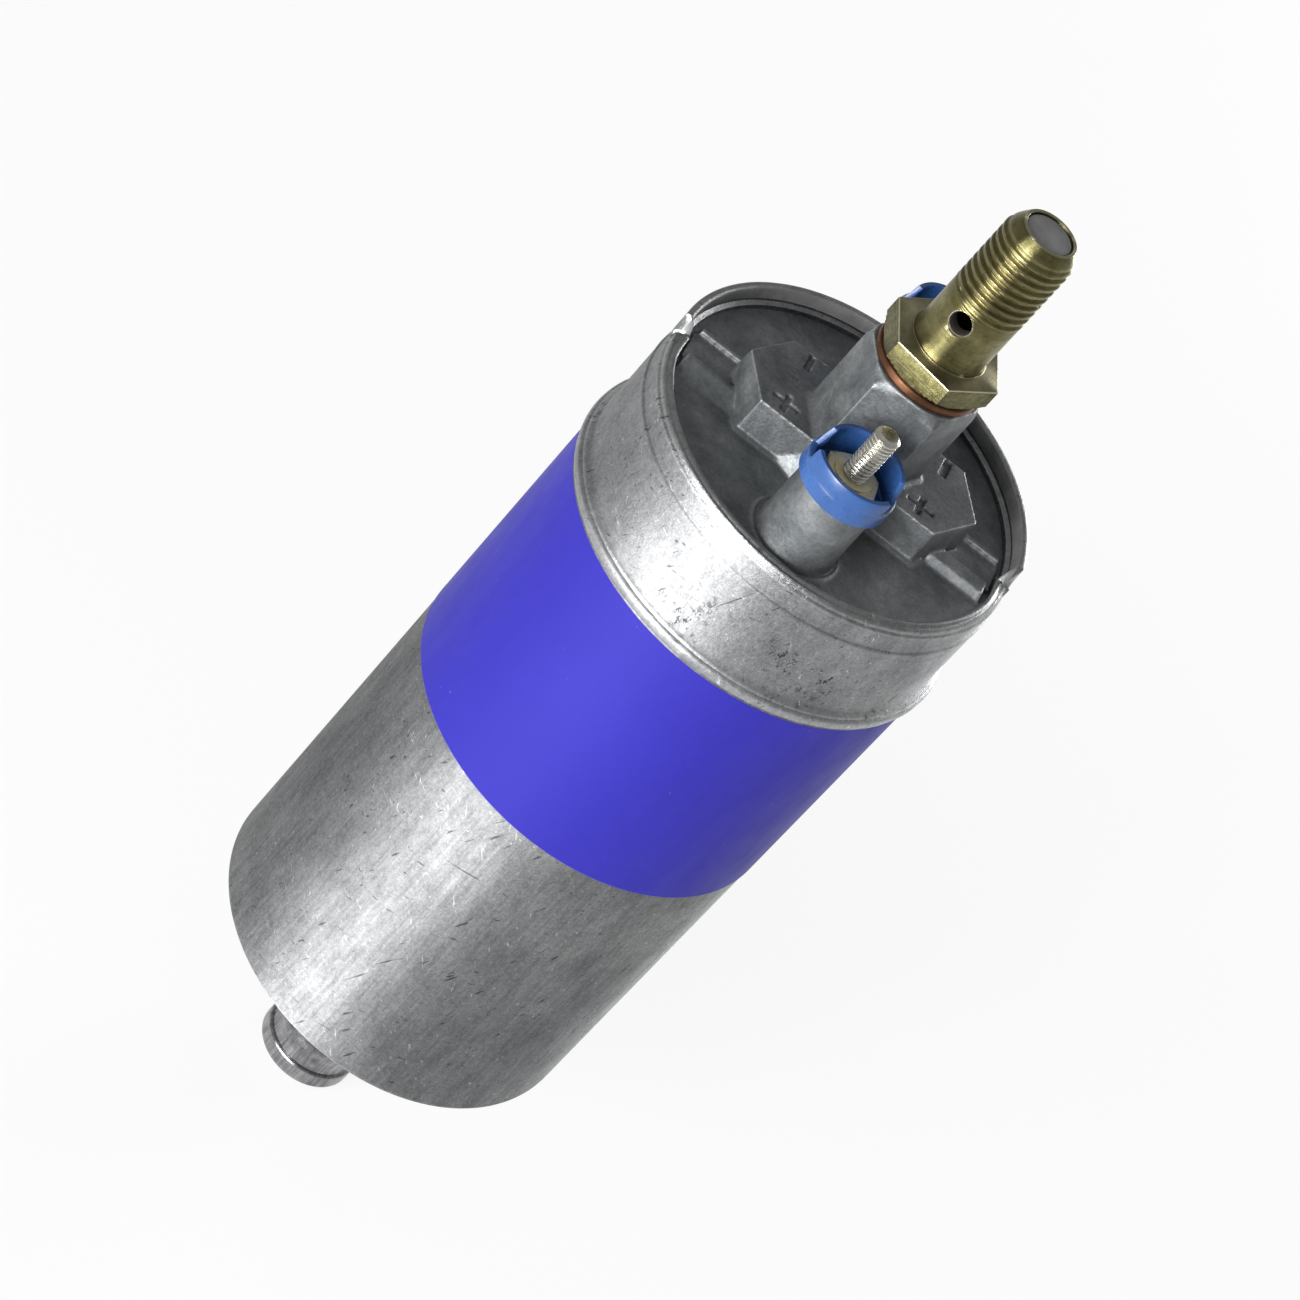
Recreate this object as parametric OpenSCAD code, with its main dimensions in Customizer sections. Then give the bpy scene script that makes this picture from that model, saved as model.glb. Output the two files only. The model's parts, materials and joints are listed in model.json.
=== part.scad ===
// Inline electric fuel pump. Millimetres, Z runs along the pump towards the outlet.
// The origin is on the axis, in the middle of the bare clamping length of the can.

/* [Can] */
// Outside radius of the can
can_radius = 31.5; // [30:0.1:33]
// Thickness of the can wall
can_wall = 1.8; // [1.5:0.1:2.1]
// Thickness of the can floor
floor_thickness = 2.2; // [1.8:0.1:2.6]
// Length from the origin down to the base
base_drop = 30.9; // [28:0.1:34]
// Outside rounding of the base edge
base_rounding = 2.1; // [1.5:0.1:2.6]
// Height of the lower edge of the label
label_start = 30.0; // [26:0.1:34]
// Height of the upper edge of the label, where the bead starts
label_end = 74.1; // [71:0.1:77]
// Thickness of the label
label_thickness = 0.2; // [0.1:0.05:0.3]
// How far the bead stands out of the can
bead_height = 1.0; // [0.6:0.1:1.4]
// Length of the collar above the bead
collar_length = 14.6; // [13:0.1:16]
// Height of the rim that is still upright, above the cover floor
upright_rim = 3.8; // [3:0.1:4.6]
// Turn of the split between rolled and upright rim
rim_turn = 8; // [0:1:16]

/* [End cover] */
// Turn of the cover about the axis
cover_turn = 8.4; // [4:0.1:12]
// Thickness of the cover plate
cover_thickness = 6; // [5.5:0.1:6.5]
// Length of the skirt inside the can
skirt_length = 23.5; // [22.5:0.1:24.5]
// Height of the raised platform
platform_height = 6.6; // [6:0.1:7.2]
// Half width of the platform
platform_half_width = 8.6; // [8.2:0.1:9]
// Half length of the platform
platform_half_length = 20.7; // [20.3:0.1:21.1]
// Height of the boss top above the platform
boss_height = 15.9; // [15:0.1:17]
// Distance of the terminals from the edge of the cover
terminal_inset = 8.3; // [8:0.1:8.4]
// Direction of the near terminal
terminal_turn = 6.8; // [4:0.1:10]
// Radius of the terminal posts
post_radius = 6.4; // [6.1:0.1:6.6]
// Height of the terminal posts
post_height = 12.1; // [11:0.1:13]

/* [Terminals] */
// Radius of the stud on the near side
near_stud_radius = 2.0; // [1.8:0.05:2.1]
// Radius of the stud on the far side
far_stud_radius = 2.5; // [2.3:0.05:2.6]
// Outside radius of the insulating cups
cup_radius = 7.45; // [7.2:0.05:7.7]
// Height of the studs above the posts
stud_height = 11.9; // [10.5:0.1:13]

/* [Outlet] */
// Radius of the plain shank
shank_radius = 5.9; // [5.7:0.05:6.1]
// Width across flats of the six-sided head
hex_flats = 17; // [16.5:0.1:17.5]
// Height of the six-sided head
hex_height = 4.2; // [3.8:0.1:4.8]
// Height of the cross hole above the head
cross_hole_height = 7.4; // [6.8:0.1:8]
// Radius of the cross hole
cross_hole_radius = 1.7; // [1.4:0.1:2]
// Length of the fitting above the head
outlet_length = 24.1; // [23:0.1:25.5]
// Outside radius of the copper ring
copper_radius = 9; // [8.6:0.1:9.4]
// Thickness of the copper ring
copper_thickness = 1.3; // [1:0.1:1.6]

/* [Inlet] */
// Length of the nipple below the base
nipple_length = 29.7; // [27:0.1:32]
// Radius of the plain part of the nipple
nipple_radius = 10.5; // [10:0.1:11]
// Radius of the end ring of the nipple
end_ring_radius = 8.3; // [8:0.1:8.6]
// Radius of the nipple bore
nipple_bore = 5.5; // [5:0.1:6]

/* [Pump and motor] */
// Thickness of the intake plate
intake_thickness = 11; // [10.5:0.1:11.5]
// Thickness of the cam ring
ring_thickness = 12; // [11:0.1:13]
// Thickness of the pressure plate
pressure_thickness = 8; // [7.5:0.1:8.5]
// Radius of the rotor
rotor_radius = 15.5; // [15:0.1:16]
// Radius of the rollers
roller_radius = 2.6; // [2.4:0.1:2.8]
// Offset of the ring bore from the axis
ring_offset = 1.3; // [1.1:0.05:1.5]
// Radius of the armature shaft
shaft_radius = 3; // [2.8:0.05:3.2]
// Thickness of the magnets
magnet_thickness = 4.7; // [4.5:0.1:5.1]
// Length of the magnets
magnet_length = 46; // [43:0.1:47]
// Length of the brushes
brush_length = 16; // [15:0.1:17]

/* [Hidden] */
$fn = 96;
skin = 0.01;
over = 1;
fit_gap = 0.3;
side_gap = 0.1;
shaft_gap = 0.1;
arc_steps = 6;

// Can
base_z = -base_drop;
floor_z = base_z + floor_thickness;
bore_radius = can_radius - can_wall;
core_radius = bore_radius - fit_gap;
bead_width = 2.8;
bead_radius = can_radius + bead_height;
bead_edge = 0.6 * bead_height;
bead_rounding = 0.8;
bead_middle = 1.3;
bead_low_turn = 30;
bead_high_turn = 60;
bead_tail = 0.35;
bead_tail_height = 0.5;
collar_step = 0.4;
crimp_step = 0.3;
collar_radius = can_radius - collar_step;
collar_start = label_end + bead_width;
collar_end = collar_start + collar_length;
crimp_radius = collar_radius - crimp_step;
crimp_length = 4;
cover_z = collar_end + crimp_length;
lip_rounding = 1.6;
lip_height = 1.1;
lip_reach = 0.8;
lip_inner = bore_radius - lip_reach;
rim_step = 0.05;
rim_inner = bore_radius + rim_step;
upright_step = 0.1;
upright_radius = collar_radius - upright_step;
upright_inner = bore_radius - upright_step;
upright_bore = rim_inner + rim_step;
ledge_inner = lip_inner + rim_step;
upright_top = cover_z + upright_rim;
upright_rounding = 0.35;
ledge_height = 0.9;
ledge_rounding = 0.4;
rim_end_rounding = 2.4;
rim_overlap = 0.5;

// End cover
terminal_distance = core_radius - terminal_inset;
plate_bottom = cover_z - cover_thickness;
skirt_bottom = plate_bottom - skirt_length;
skirt_wall = 4.2;
skirt_inner = core_radius - skirt_wall;
platform_z = cover_z + platform_height;
platform_point = 4.95;
platform_end_half = platform_half_length - platform_point;
boss_z = platform_z + boss_height;
boss_corner_long = 10;
boss_corner_side = 5.35;
boss_corner_deep = 9.25;
boss_top_radius = 9.4;
boss_shoulder = 1.6;
boss_bore = shank_radius;
hub_radius = 6.9;
hub_length = 17.5;
hub_bottom = plate_bottom - hub_length;
bearing_radius = 5;
bearing_length = 8;
bearing_bottom = hub_bottom;
bearing_top = bearing_bottom + bearing_length;
passage_width = 4;
passage_height = 3;
edge_cut = 0.45;
foot_height = 0.7;
foot_spread = 0.5;
gusset_reach = 9.1;
gusset_heading = 26;
gusset_lean = 22.3;
gusset_height = 5;
web_half_width = 3.2;
rib_inner = 2.9;
rib_height = 1.6;
rib_thin = 0.9;
rib_wide = 2.9;
rib_overlap = 3;
rib_inset = 0.6;
rib_slant = 0.9;
rib_start = platform_half_length - rib_overlap;
rib_end = lip_inner - rib_inset;
channel_height = 0.7;
slope_reach = 4;
seal_thickness_radius = 1.2;
seal_centre = bore_radius - fit_gap - seal_thickness_radius;
seal_drop = 4;
seal_z = plate_bottom - seal_drop;
seal_groove_half = seal_thickness_radius + fit_gap;
seal_groove_radius = seal_centre - seal_thickness_radius - fit_gap;

// Terminals
post_z = cover_z + post_height;
pocket_radius = 5.6;
pocket_depth = 2;
cup_floor_thickness = 1;
cup_foot_radius = pocket_radius - fit_gap;
cup_wall = 0.95;
cup_foot_wall = 0.5;
cup_well_radius = cup_foot_radius - cup_foot_wall;
cup_front_height = 5.2;
cup_back_height = 6.1;
cup_back_wall = 0.95;
cup_back_step = 0.9;
cup_back_radius = cup_radius - cup_back_step;
cup_notch_height = 2.6;
cup_notch_half = 16;
cup_line_height = 2.6;
cup_line_depth = 0.15;
cup_front_inner = cup_radius - cup_wall - cup_line_depth;
bush_radius = 4;
bush_bore = far_stud_radius + fit_gap;
post_bore = bush_radius + fit_gap;
seal_ring_height = 1;
washer_height = 0.6;
washer_radius = cup_well_radius - fit_gap;
nut_height = 2.8;
near_nut_flats = 7;
washer_z = post_z - pocket_depth + cup_floor_thickness;
washer_top = washer_z + washer_height;
nut_top = washer_top + nut_height;
far_nut_flats = 8;
cup_hollow_z = post_z + cup_floor_thickness / 2;
stud_top = post_z + stud_height;
stud_chamfer = 0.6;
stud_relief = 0.3;
stud_head_radius = 3.6;
stud_head_height = 2;
strap_height = 1.5;
strap_eye = skirt_inner - terminal_distance - fit_gap;
strap_inner = 7.5;
strap_outer = 11.5;
strap_half_width = 2.5;
carrier_thickness = 3.5;
carrier_bottom = plate_bottom - carrier_thickness;
strap_bottom = carrier_bottom - strap_height;

// Brushes
brush_offset = 12;
brush_width = 6;
brush_depth = 8;
guide_wall = 1.1;
guide_width = brush_width + 2 * fit_gap + 2 * guide_wall;
guide_depth = brush_depth + 2 * fit_gap + 2 * guide_wall;
thrust_room = 2;
guide_room = 2;
guide_cover = 2.2;
commutator_top = hub_bottom - thrust_room;
guide_bottom = commutator_top + guide_room;
guide_top = platform_z - guide_cover;
guide_roof = 1;
brush_bottom = commutator_top + side_gap;
brush_top = brush_bottom + brush_length;
brush_spring_radius = 2.5;
brush_spring_inner = 1.9;

// Pump stack
intake_top = floor_z + intake_thickness;
ring_top = intake_top + ring_thickness;
pressure_top = ring_top + pressure_thickness;
rotor_room = 0.4;
ring_bore = rotor_radius + ring_offset + rotor_room;
roller_travel = 1;
roller_centre = ring_bore - ring_offset - fit_gap - roller_radius - roller_travel;
slot_radius = roller_radius + fit_gap;
slot_count = 5;
rotor_bottom = intake_top + side_gap;
rotor_top = ring_top - side_gap;
pin_radius = 4;
pin_depth = 4;
pin_reach = 7;
pin_top = rotor_bottom + pin_reach;
recess_depth = 4;
coupling_radius = 7;
coupling_height = 3;
coupling_z = rotor_top - recess_depth + side_gap;
dog_radius = 1.2;
dog_distance = 5.2;
dog_depth = 2.5;
port_depth = 4.2;
port_reach = 2.6;
port_inner = rotor_radius - port_depth;
port_outer = rotor_radius + port_reach;
port_sweep = 100;
well_radius = 12;
well_height = 3.9;
nipple_flange_radius = 13;
nipple_flange_height = 2;
gasket_height = 0.8;
gasket_top = floor_z + gasket_height;
flange_top = gasket_top + nipple_flange_height;
flange_pocket = nipple_flange_radius + fit_gap;
nipple_step = 0.5;
nipple_inner_radius = nipple_radius - nipple_step;
base_hole = nipple_inner_radius + fit_gap;
strainer_height = 0.8;
strainer_radius = well_radius - fit_gap;
strainer_hole = 0.7;
strainer_pitch = 2;
strainer_reach = nipple_bore - strainer_hole;
bush_front_radius = 5.5;
bush_front_flange = 0.8;
screw_inset = 5.6;
screw_distance = core_radius - screw_inset;
screw_radius = 2;
screw_head_radius = 3.5;
screw_head_height = 3;
screw_depth = 7;
screw_turn = 45;
screw_count = 4;

// Relief valve
relief_inset = 5.9;
relief_distance = core_radius - relief_inset;
relief_bore = 2.8;
relief_radius = relief_bore - fit_gap;
relief_hole = 1.1;
relief_seat_height = 3;
relief_plunger_height = 5;
relief_nose = 0.8;
relief_spring_radius = 2.1;
relief_spring_inner = 1.5;
relief_seat_z = pressure_top - relief_seat_height;
relief_plunger_top = relief_seat_z;
relief_plunger_bottom = relief_plunger_top - relief_plunger_height;
relief_retainer_height = 3;

// Motor
flux_wall = 1.8;
flux_inner = core_radius - flux_wall;
magnet_outer = flux_inner - fit_gap;
air_gap = 0.7;
magnet_room = 8;
magnet_inner = magnet_outer - magnet_thickness;
magnet_bottom = pressure_top + magnet_room;
magnet_top = magnet_bottom + magnet_length;
magnet_half_sweep = 63;
clip_thickness = 0.8;
clip_half_sweep = 24;
clip_fold = 3;
clip_end_sweep = 2;
stack_inset = 4;
stack_radius = magnet_inner - air_gap;
stack_bottom = magnet_bottom + stack_inset;
stack_top = magnet_top - stack_inset;
winding_slots = 12;
winding_depth = 5.4;
winding_distance = stack_radius - winding_depth;
winding_pocket = 2.6;
winding_mouth = 1.6;
winding_radius = winding_pocket - fit_gap;
winding_inner = 8;
winding_inset = 2.2;
end_turn_height = 7;
winding_outer = stack_radius - winding_inset;
winding_low = stack_bottom - end_turn_height;
winding_high = stack_top + end_turn_height;
winding_rounding = 2;
commutator_radius = 16.4;
commutator_height = 8;
commutator_bottom = commutator_top - commutator_height;
commutator_cut = 0.5;
commutator_cut_depth = 1.2;
commutator_hub = 4.5;
shaft_bottom = coupling_z;
shaft_end = 2;
shaft_top = bearing_top + shaft_end;
thrust_bottom = commutator_top;
thrust_top = hub_bottom - side_gap;
thrust_radius = 5.2;

// Outlet
copper_top = boss_z + copper_thickness;
hex_top = copper_top + hex_height;
hex_turn = -3.5;
hex_radius = hex_flats / (2 * cos(30));
hex_chamfer = 1;
hex_chamfer_start = hex_flats / 2;
outlet_top = hex_top + outlet_length;
cross_turn = -8;
cross_z = hex_top + cross_hole_height;
tip_length = 1.1;
tip_step = 1;
seated_step = 0.3;
fitting_depth = 10.5;
thread_end = outlet_top - tip_length;
tip_radius = shank_radius - tip_step;
seated_radius = shank_radius - seated_step;
fitting_bottom = cover_z + fitting_depth;
valve_bore = 4.3;
valve_reach = 0.7;
valve_shoulder = hex_top + valve_reach;
upper_bore = 2.5;
plug_radius = 4.1;
plug_thickness = 2.8;
plug_drop = 0.4;
plug_top = outlet_top - plug_drop;
plug_bottom = plug_top - plug_thickness;
check_seat_height = 3;
check_seat_hole = 2.4;
check_gap = 0.5;
check_radius = valve_bore - check_gap;
check_stem_radius = 1.6;
check_head_height = 3;
check_nose = 1;
check_bottom = fitting_bottom + check_seat_height;
check_top = check_bottom + check_head_height;
check_stem_height = 4;
check_stem_top = check_top + check_stem_height;
check_spring_radius = 3;
check_spring_inner = 2.3;

// Inlet nipple
nipple_end = base_z - nipple_length;
end_ring_height = 3.4;
end_ring_rounding = 0.8;
end_ring_turn = 80;
waist_step = 0.7;
waist_height = 4;
neck_height = 11;
waist_radius = end_ring_radius - waist_step;
waist_z = nipple_end + waist_height;
neck_top = nipple_end + neck_height;
neck_curve = 10;
neck_turn = 44;
neck_steps = 10;

// Points of an arc, angles in degrees.
function arc(x, y, radius, from, to, steps = arc_steps) =
    [for (i = [0 : steps])
        let (a = from + (to - from) * i / steps)
        [x + radius * cos(a), y + radius * sin(a)]];

module rod(radius, low, high) {
    translate([0, 0, low]) cylinder(r = radius, h = high - low);
}

module tube(outer, inner, low, high) {
    difference() {
        rod(outer, low, high);
        rod(inner, low - over, high + over);
    }
}

// A slice of a tube, centred on a direction.
module tube_slice(outer, inner, low, high, middle, half_sweep) {
    rotate([0, 0, middle - half_sweep])
        rotate_extrude(angle = 2 * half_sweep)
            polygon([[inner, low], [outer, low], [outer, high], [inner, high]]);
}

// A box centred on the axis in plan.
module block(width, depth, low, high) {
    translate([-width / 2, -depth / 2, low]) cube([width, depth, high - low]);
}

// A six-sided prism with flats at a given distance.
module hex_prism(flats, low, high) {
    translate([0, 0, low]) cylinder(r = flats / (2 * cos(30)), h = high - low, $fn = 6);
}

// Takes a slanted strip off the upper edges of a prism.
module top_edge_cut(points, top, size) {
    count = len(points);
    for (i = [0 : count - 1]) {
        a = points[i];
        b = points[(i + 1) % count];
        run = sqrt(pow(b[0] - a[0], 2) + pow(b[1] - a[1], 2));
        translate([a[0], a[1], top])
            rotate([0, 0, atan2(b[1] - a[1], b[0] - a[0])])
                rotate([45, 0, 0])
                    translate([-size, -size * sqrt(2) / 2, -size * sqrt(2) / 2])
                        cube([run + 2 * size, size * sqrt(2), size * sqrt(2)]);
    }
}

module on_near_terminal() {
    rotate([0, 0, terminal_turn]) translate([0, -terminal_distance, 0]) children();
}

module on_far_terminal() {
    rotate([0, 0, terminal_turn]) translate([0, terminal_distance, 0]) children();
}

module on_brush(side) {
    rotate([0, 0, cover_turn]) translate([side * brush_offset, 0, 0]) children();
}

module on_relief() {
    translate([-relief_distance, 0, 0]) children();
}

// Can with base, bead and collar, below the rim.
module can_body() {
    rotate_extrude()
        polygon(concat(
            [[base_hole, base_z]],
            arc(can_radius - base_rounding, base_z + base_rounding, base_rounding, -90, 0),
            [[can_radius, label_start],
             [can_radius - label_thickness, label_start],
             [can_radius - label_thickness, label_end],
             [can_radius + bead_edge, label_end]],
            arc(bead_radius - bead_rounding, label_end + bead_middle, bead_rounding,
                -bead_low_turn, bead_high_turn),
            [[collar_radius + bead_tail, collar_start - bead_tail_height],
             [collar_radius, collar_start],
             [collar_radius, collar_end],
             [bore_radius, collar_end],
             [bore_radius, floor_z],
             [base_hole, floor_z]]));
}

// The near half of the rim, rolled in over the cover edge.
module rolled_rim() {
    rotate([0, 0, 180 + rim_turn - rim_overlap])
        rotate_extrude(angle = 180 + 2 * rim_overlap)
            polygon(concat(
                [[rim_inner, collar_end - over],
                 [crimp_radius, collar_end - over],
                 [crimp_radius, collar_end]],
                arc(crimp_radius - lip_rounding, cover_z + lip_height - lip_rounding, lip_rounding, 0, 90),
                [[lip_inner, cover_z + lip_height],
                 [lip_inner, cover_z],
                 [rim_inner, cover_z]]));
}

// The far half of the rim, which stands upright round the cover.
module upright_half() {
    difference() {
        rotate([0, 0, rim_turn])
            rotate_extrude(angle = 180)
                polygon(concat(
                    [[upright_bore, collar_end - over],
                     [upright_radius - rim_step, collar_end - over],
                     [upright_radius, collar_end]],
                    arc(upright_radius - upright_rounding, upright_top - upright_rounding,
                        upright_rounding, 0, 90),
                    arc(upright_inner + upright_rounding, upright_top - upright_rounding,
                        upright_rounding, 90, 180),
                    [[upright_inner, cover_z + ledge_height]],
                    arc(ledge_inner + ledge_rounding, cover_z + ledge_height - ledge_rounding,
                        ledge_rounding, 90, 180),
                    [[ledge_inner, cover_z],
                     [upright_bore, cover_z]]));
        rim_corner_cut();
    }
}

// Rounds the right-hand upper corner of the upright half.
module rim_corner_cut() {
    rotate([0, 0, rim_turn])
        translate([lip_inner - over, -over, upright_top - rim_end_rounding])
            difference() {
                cube([can_wall + 3 * over, rim_end_rounding + over, rim_end_rounding + over]);
                translate([-over, rim_end_rounding + over, 0])
                    rotate([0, 90, 0])
                        cylinder(r = rim_end_rounding, h = can_wall + 5 * over);
            }
}

module casing() {
    color([0.68, 0.69, 0.7])
        union() {
            can_body();
            rolled_rim();
            upright_half();
        }
}

module label_sleeve() {
    color([0.28, 0.26, 0.82])
        tube(can_radius, can_radius - label_thickness, label_start, label_end);
}

// Turned nipple with a concave neck, an end ring and a flange inside the can.
module inlet_nipple() {
    neck_x = waist_radius + neck_curve;
    color([0.75, 0.75, 0.76])
        rotate_extrude()
            polygon(concat(
                [[nipple_bore, nipple_end]],
                arc(end_ring_radius - end_ring_rounding, nipple_end + end_ring_rounding,
                    end_ring_rounding, -90, 0),
                arc(end_ring_radius - end_ring_rounding, nipple_end + end_ring_height - end_ring_rounding,
                    end_ring_rounding, 0, end_ring_turn),
                arc(neck_x, waist_z, neck_curve, 180, 180 - neck_turn, neck_steps),
                [[nipple_radius, neck_top],
                 [nipple_radius, base_z],
                 [nipple_inner_radius, base_z],
                 [nipple_inner_radius, gasket_top],
                 [nipple_flange_radius, gasket_top],
                 [nipple_flange_radius, flange_top],
                 [nipple_bore, flange_top]]));
}

module inlet_seal() {
    color([0.1, 0.1, 0.1])
        tube(nipple_flange_radius, base_hole, floor_z, gasket_top);
}

module inlet_strainer() {
    reach = floor(strainer_reach / strainer_pitch) * strainer_pitch;
    color([0.7, 0.68, 0.6])
        difference() {
            rod(strainer_radius, flange_top, flange_top + strainer_height);
            for (x = [-reach : strainer_pitch : reach], y = [-reach : strainer_pitch : reach])
                if (x * x + y * y <= strainer_reach * strainer_reach)
                    translate([x, y, 0])
                        rod(strainer_hole, flange_top - over, flange_top + strainer_height + over);
        }
}

module port(middle, low, high) {
    tube_slice(port_outer, port_inner, low, high, middle, port_sweep / 2);
}

// Places for the pump screws.
module on_screws() {
    for (i = [0 : screw_count - 1])
        rotate([0, 0, screw_turn + i * 360 / screw_count]) translate([screw_distance, 0, 0]) children();
}

module intake_plate() {
    color([0.55, 0.55, 0.56])
        difference() {
            rod(core_radius, floor_z, intake_top);
            rod(flange_pocket, floor_z - over, flange_top);
            rod(well_radius, flange_top - over, flange_top + well_height);
            port(90, flange_top - over / 2, intake_top + over);
            rod(pin_radius, intake_top - pin_depth, intake_top + over);
            on_screws() rod(screw_radius, intake_top - screw_depth, intake_top + over);
            on_relief() {
                rod(relief_bore, intake_top - relief_retainer_height, intake_top + over);
                rod(relief_hole, floor_z - over, intake_top);
            }
        }
}

module cam_ring() {
    color([0.6, 0.6, 0.62])
        difference() {
            rod(core_radius, intake_top, ring_top);
            translate([0, ring_offset, 0]) rod(ring_bore, intake_top - over, ring_top + over);
            on_screws() rod(screw_radius + fit_gap, intake_top - over, ring_top + over);
            on_relief() rod(relief_bore, intake_top - over, ring_top + over);
        }
}

module pressure_plate() {
    color([0.55, 0.55, 0.56])
        difference() {
            rod(core_radius, ring_top, pressure_top);
            rod(bush_front_radius, ring_top - over, pressure_top + over);
            port(-90, ring_top - over, pressure_top + over);
            on_screws() rod(screw_radius + fit_gap, ring_top - over, pressure_top + over);
            on_relief() {
                rod(relief_bore, ring_top - over, relief_seat_z);
                rod(relief_bore + fit_gap, relief_seat_z, pressure_top + over);
            }
        }
}

module pump_screws() {
    color([0.4, 0.4, 0.42])
        on_screws() {
            difference() {
                rod(screw_head_radius, pressure_top, pressure_top + screw_head_height);
                hex_prism(screw_radius * 2, pressure_top + screw_head_height / 2,
                    pressure_top + screw_head_height + over);
            }
            rod(screw_radius, intake_top - screw_depth + side_gap, pressure_top + skin);
        }
}

module rotor_pin() {
    color([0.7, 0.7, 0.72]) rod(pin_radius, intake_top - pin_depth, pin_top);
}

// Rotor with five roller slots and the recess of the drive coupling.
module pump_rotor() {
    color([0.5, 0.5, 0.52])
        difference() {
            rod(rotor_radius, rotor_bottom, rotor_top);
            rod(pin_radius + shaft_gap, rotor_bottom - over, rotor_top - recess_depth);
            rod(coupling_radius + fit_gap, rotor_top - recess_depth, rotor_top + over);
            for (side = [-1, 1])
                translate([side * dog_distance, 0, 0])
                    rod(dog_radius + fit_gap, coupling_z - dog_depth - fit_gap, rotor_top);
            for (i = [0 : slot_count - 1])
                rotate([0, 0, roller_angle(i)]) {
                    translate([roller_centre, 0, 0]) rod(slot_radius, rotor_bottom - over, rotor_top + over);
                    translate([roller_centre, -slot_radius, rotor_bottom - over])
                        cube([rotor_radius, 2 * slot_radius, ring_thickness + over]);
                }
        }
}

function roller_angle(i) = 90 + i * 360 / slot_count;

module pump_roller(i) {
    color([0.8, 0.8, 0.82])
        rotate([0, 0, roller_angle(i)])
            translate([roller_centre, 0, 0])
                rod(roller_radius, rotor_bottom, rotor_top);
}

module relief_seat() {
    color([0.72, 0.6, 0.3]) on_relief() tube(relief_bore, relief_hole, relief_seat_z, pressure_top);
}

module relief_plunger() {
    color([0.6, 0.6, 0.62])
        on_relief()
            translate([0, 0, relief_plunger_bottom])
                rotate_extrude()
                    polygon([[0, 0], [relief_radius, 0],
                        [relief_radius, relief_plunger_height - relief_nose],
                        [relief_hole + fit_gap, relief_plunger_height],
                        [0, relief_plunger_height]]);
}

module relief_spring() {
    color([0.7, 0.7, 0.7])
        on_relief() tube(relief_spring_radius, relief_spring_inner, intake_top, relief_plunger_bottom);
}

module relief_retainer() {
    color([0.6, 0.6, 0.62])
        on_relief() tube(relief_radius, relief_hole, intake_top - relief_retainer_height, intake_top);
}

// Disc with two dogs that carries the turning of the shaft into the rotor.
module drive_coupling() {
    color([0.85, 0.83, 0.75]) {
        difference() {
            rod(coupling_radius, coupling_z, coupling_z + coupling_height);
            rod(shaft_radius, coupling_z - over, coupling_z + coupling_height + over);
        }
        for (side = [-1, 1])
            translate([side * dog_distance, 0, 0]) rod(dog_radius, coupling_z - dog_depth, coupling_z + skin);
    }
}

module front_bushing() {
    color([0.7, 0.55, 0.3])
        difference() {
            union() {
                rod(bush_front_radius, ring_top, pressure_top);
                rod(bush_front_radius + over, pressure_top, pressure_top + bush_front_flange);
            }
            rod(shaft_radius + shaft_gap, ring_top - over, pressure_top + over);
        }
}

module flux_ring() {
    color([0.45, 0.46, 0.48]) tube(core_radius, flux_inner, pressure_top, skirt_bottom);
}

module field_magnet(middle) {
    color([0.2, 0.2, 0.21])
        tube_slice(magnet_outer, magnet_inner, magnet_bottom, magnet_top, middle, magnet_half_sweep);
}

// Two bent clips that spread the magnets against the flux ring.
module magnet_clips() {
    color([0.6, 0.62, 0.65])
        for (middle = [90, 270])
            difference() {
                tube_slice(magnet_outer, magnet_outer - clip_fold, magnet_bottom, magnet_top, middle,
                    clip_half_sweep + clip_end_sweep);
                tube_slice(magnet_outer - clip_thickness, magnet_outer - clip_fold - over,
                    magnet_bottom - over, magnet_top + over, middle, clip_half_sweep);
            }
}

module armature_shaft() {
    color([0.78, 0.78, 0.8]) rod(shaft_radius, shaft_bottom, shaft_top);
}

module on_windings() {
    for (i = [0 : winding_slots - 1])
        rotate([0, 0, i * 360 / winding_slots]) translate([winding_distance, 0, 0]) children();
}

module lamination_stack() {
    color([0.42, 0.43, 0.45])
        difference() {
            rod(stack_radius, stack_bottom, stack_top);
            rod(shaft_radius, stack_bottom - over, stack_top + over);
            on_windings() {
                rod(winding_pocket, stack_bottom - over, stack_top + over);
                translate([0, -winding_mouth / 2, stack_bottom - over])
                    cube([stack_radius, winding_mouth, stack_top - stack_bottom + 2 * over]);
            }
        }
}

// Wire bundles in the slots, joined by the end turns.
module armature_windings() {
    color([0.72, 0.4, 0.2])
        union() {
            on_windings() rod(winding_radius, stack_bottom - over, stack_top + over);
            end_turns(winding_low, stack_bottom);
            end_turns(stack_top, winding_high);
        }
}

module end_turns(low, high) {
    rotate_extrude()
        polygon(concat(
            arc(winding_inner + winding_rounding, low + winding_rounding, winding_rounding, 180, 270),
            arc(winding_outer - winding_rounding, low + winding_rounding, winding_rounding, -90, 0),
            arc(winding_outer - winding_rounding, high - winding_rounding, winding_rounding, 0, 90),
            arc(winding_inner + winding_rounding, high - winding_rounding, winding_rounding, 90, 180)));
}

module commutator() {
    color([0.74, 0.45, 0.25])
        difference() {
            rod(commutator_radius, commutator_bottom, commutator_top);
            rod(shaft_radius, commutator_bottom - over, commutator_top + over);
            for (i = [0 : winding_slots - 1])
                rotate([0, 0, (i + 0.5) * 360 / winding_slots])
                    translate([commutator_hub + over, -commutator_cut / 2,
                            commutator_top - commutator_cut_depth])
                        cube([commutator_radius, commutator_cut, commutator_cut_depth + over]);
        }
}

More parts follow.
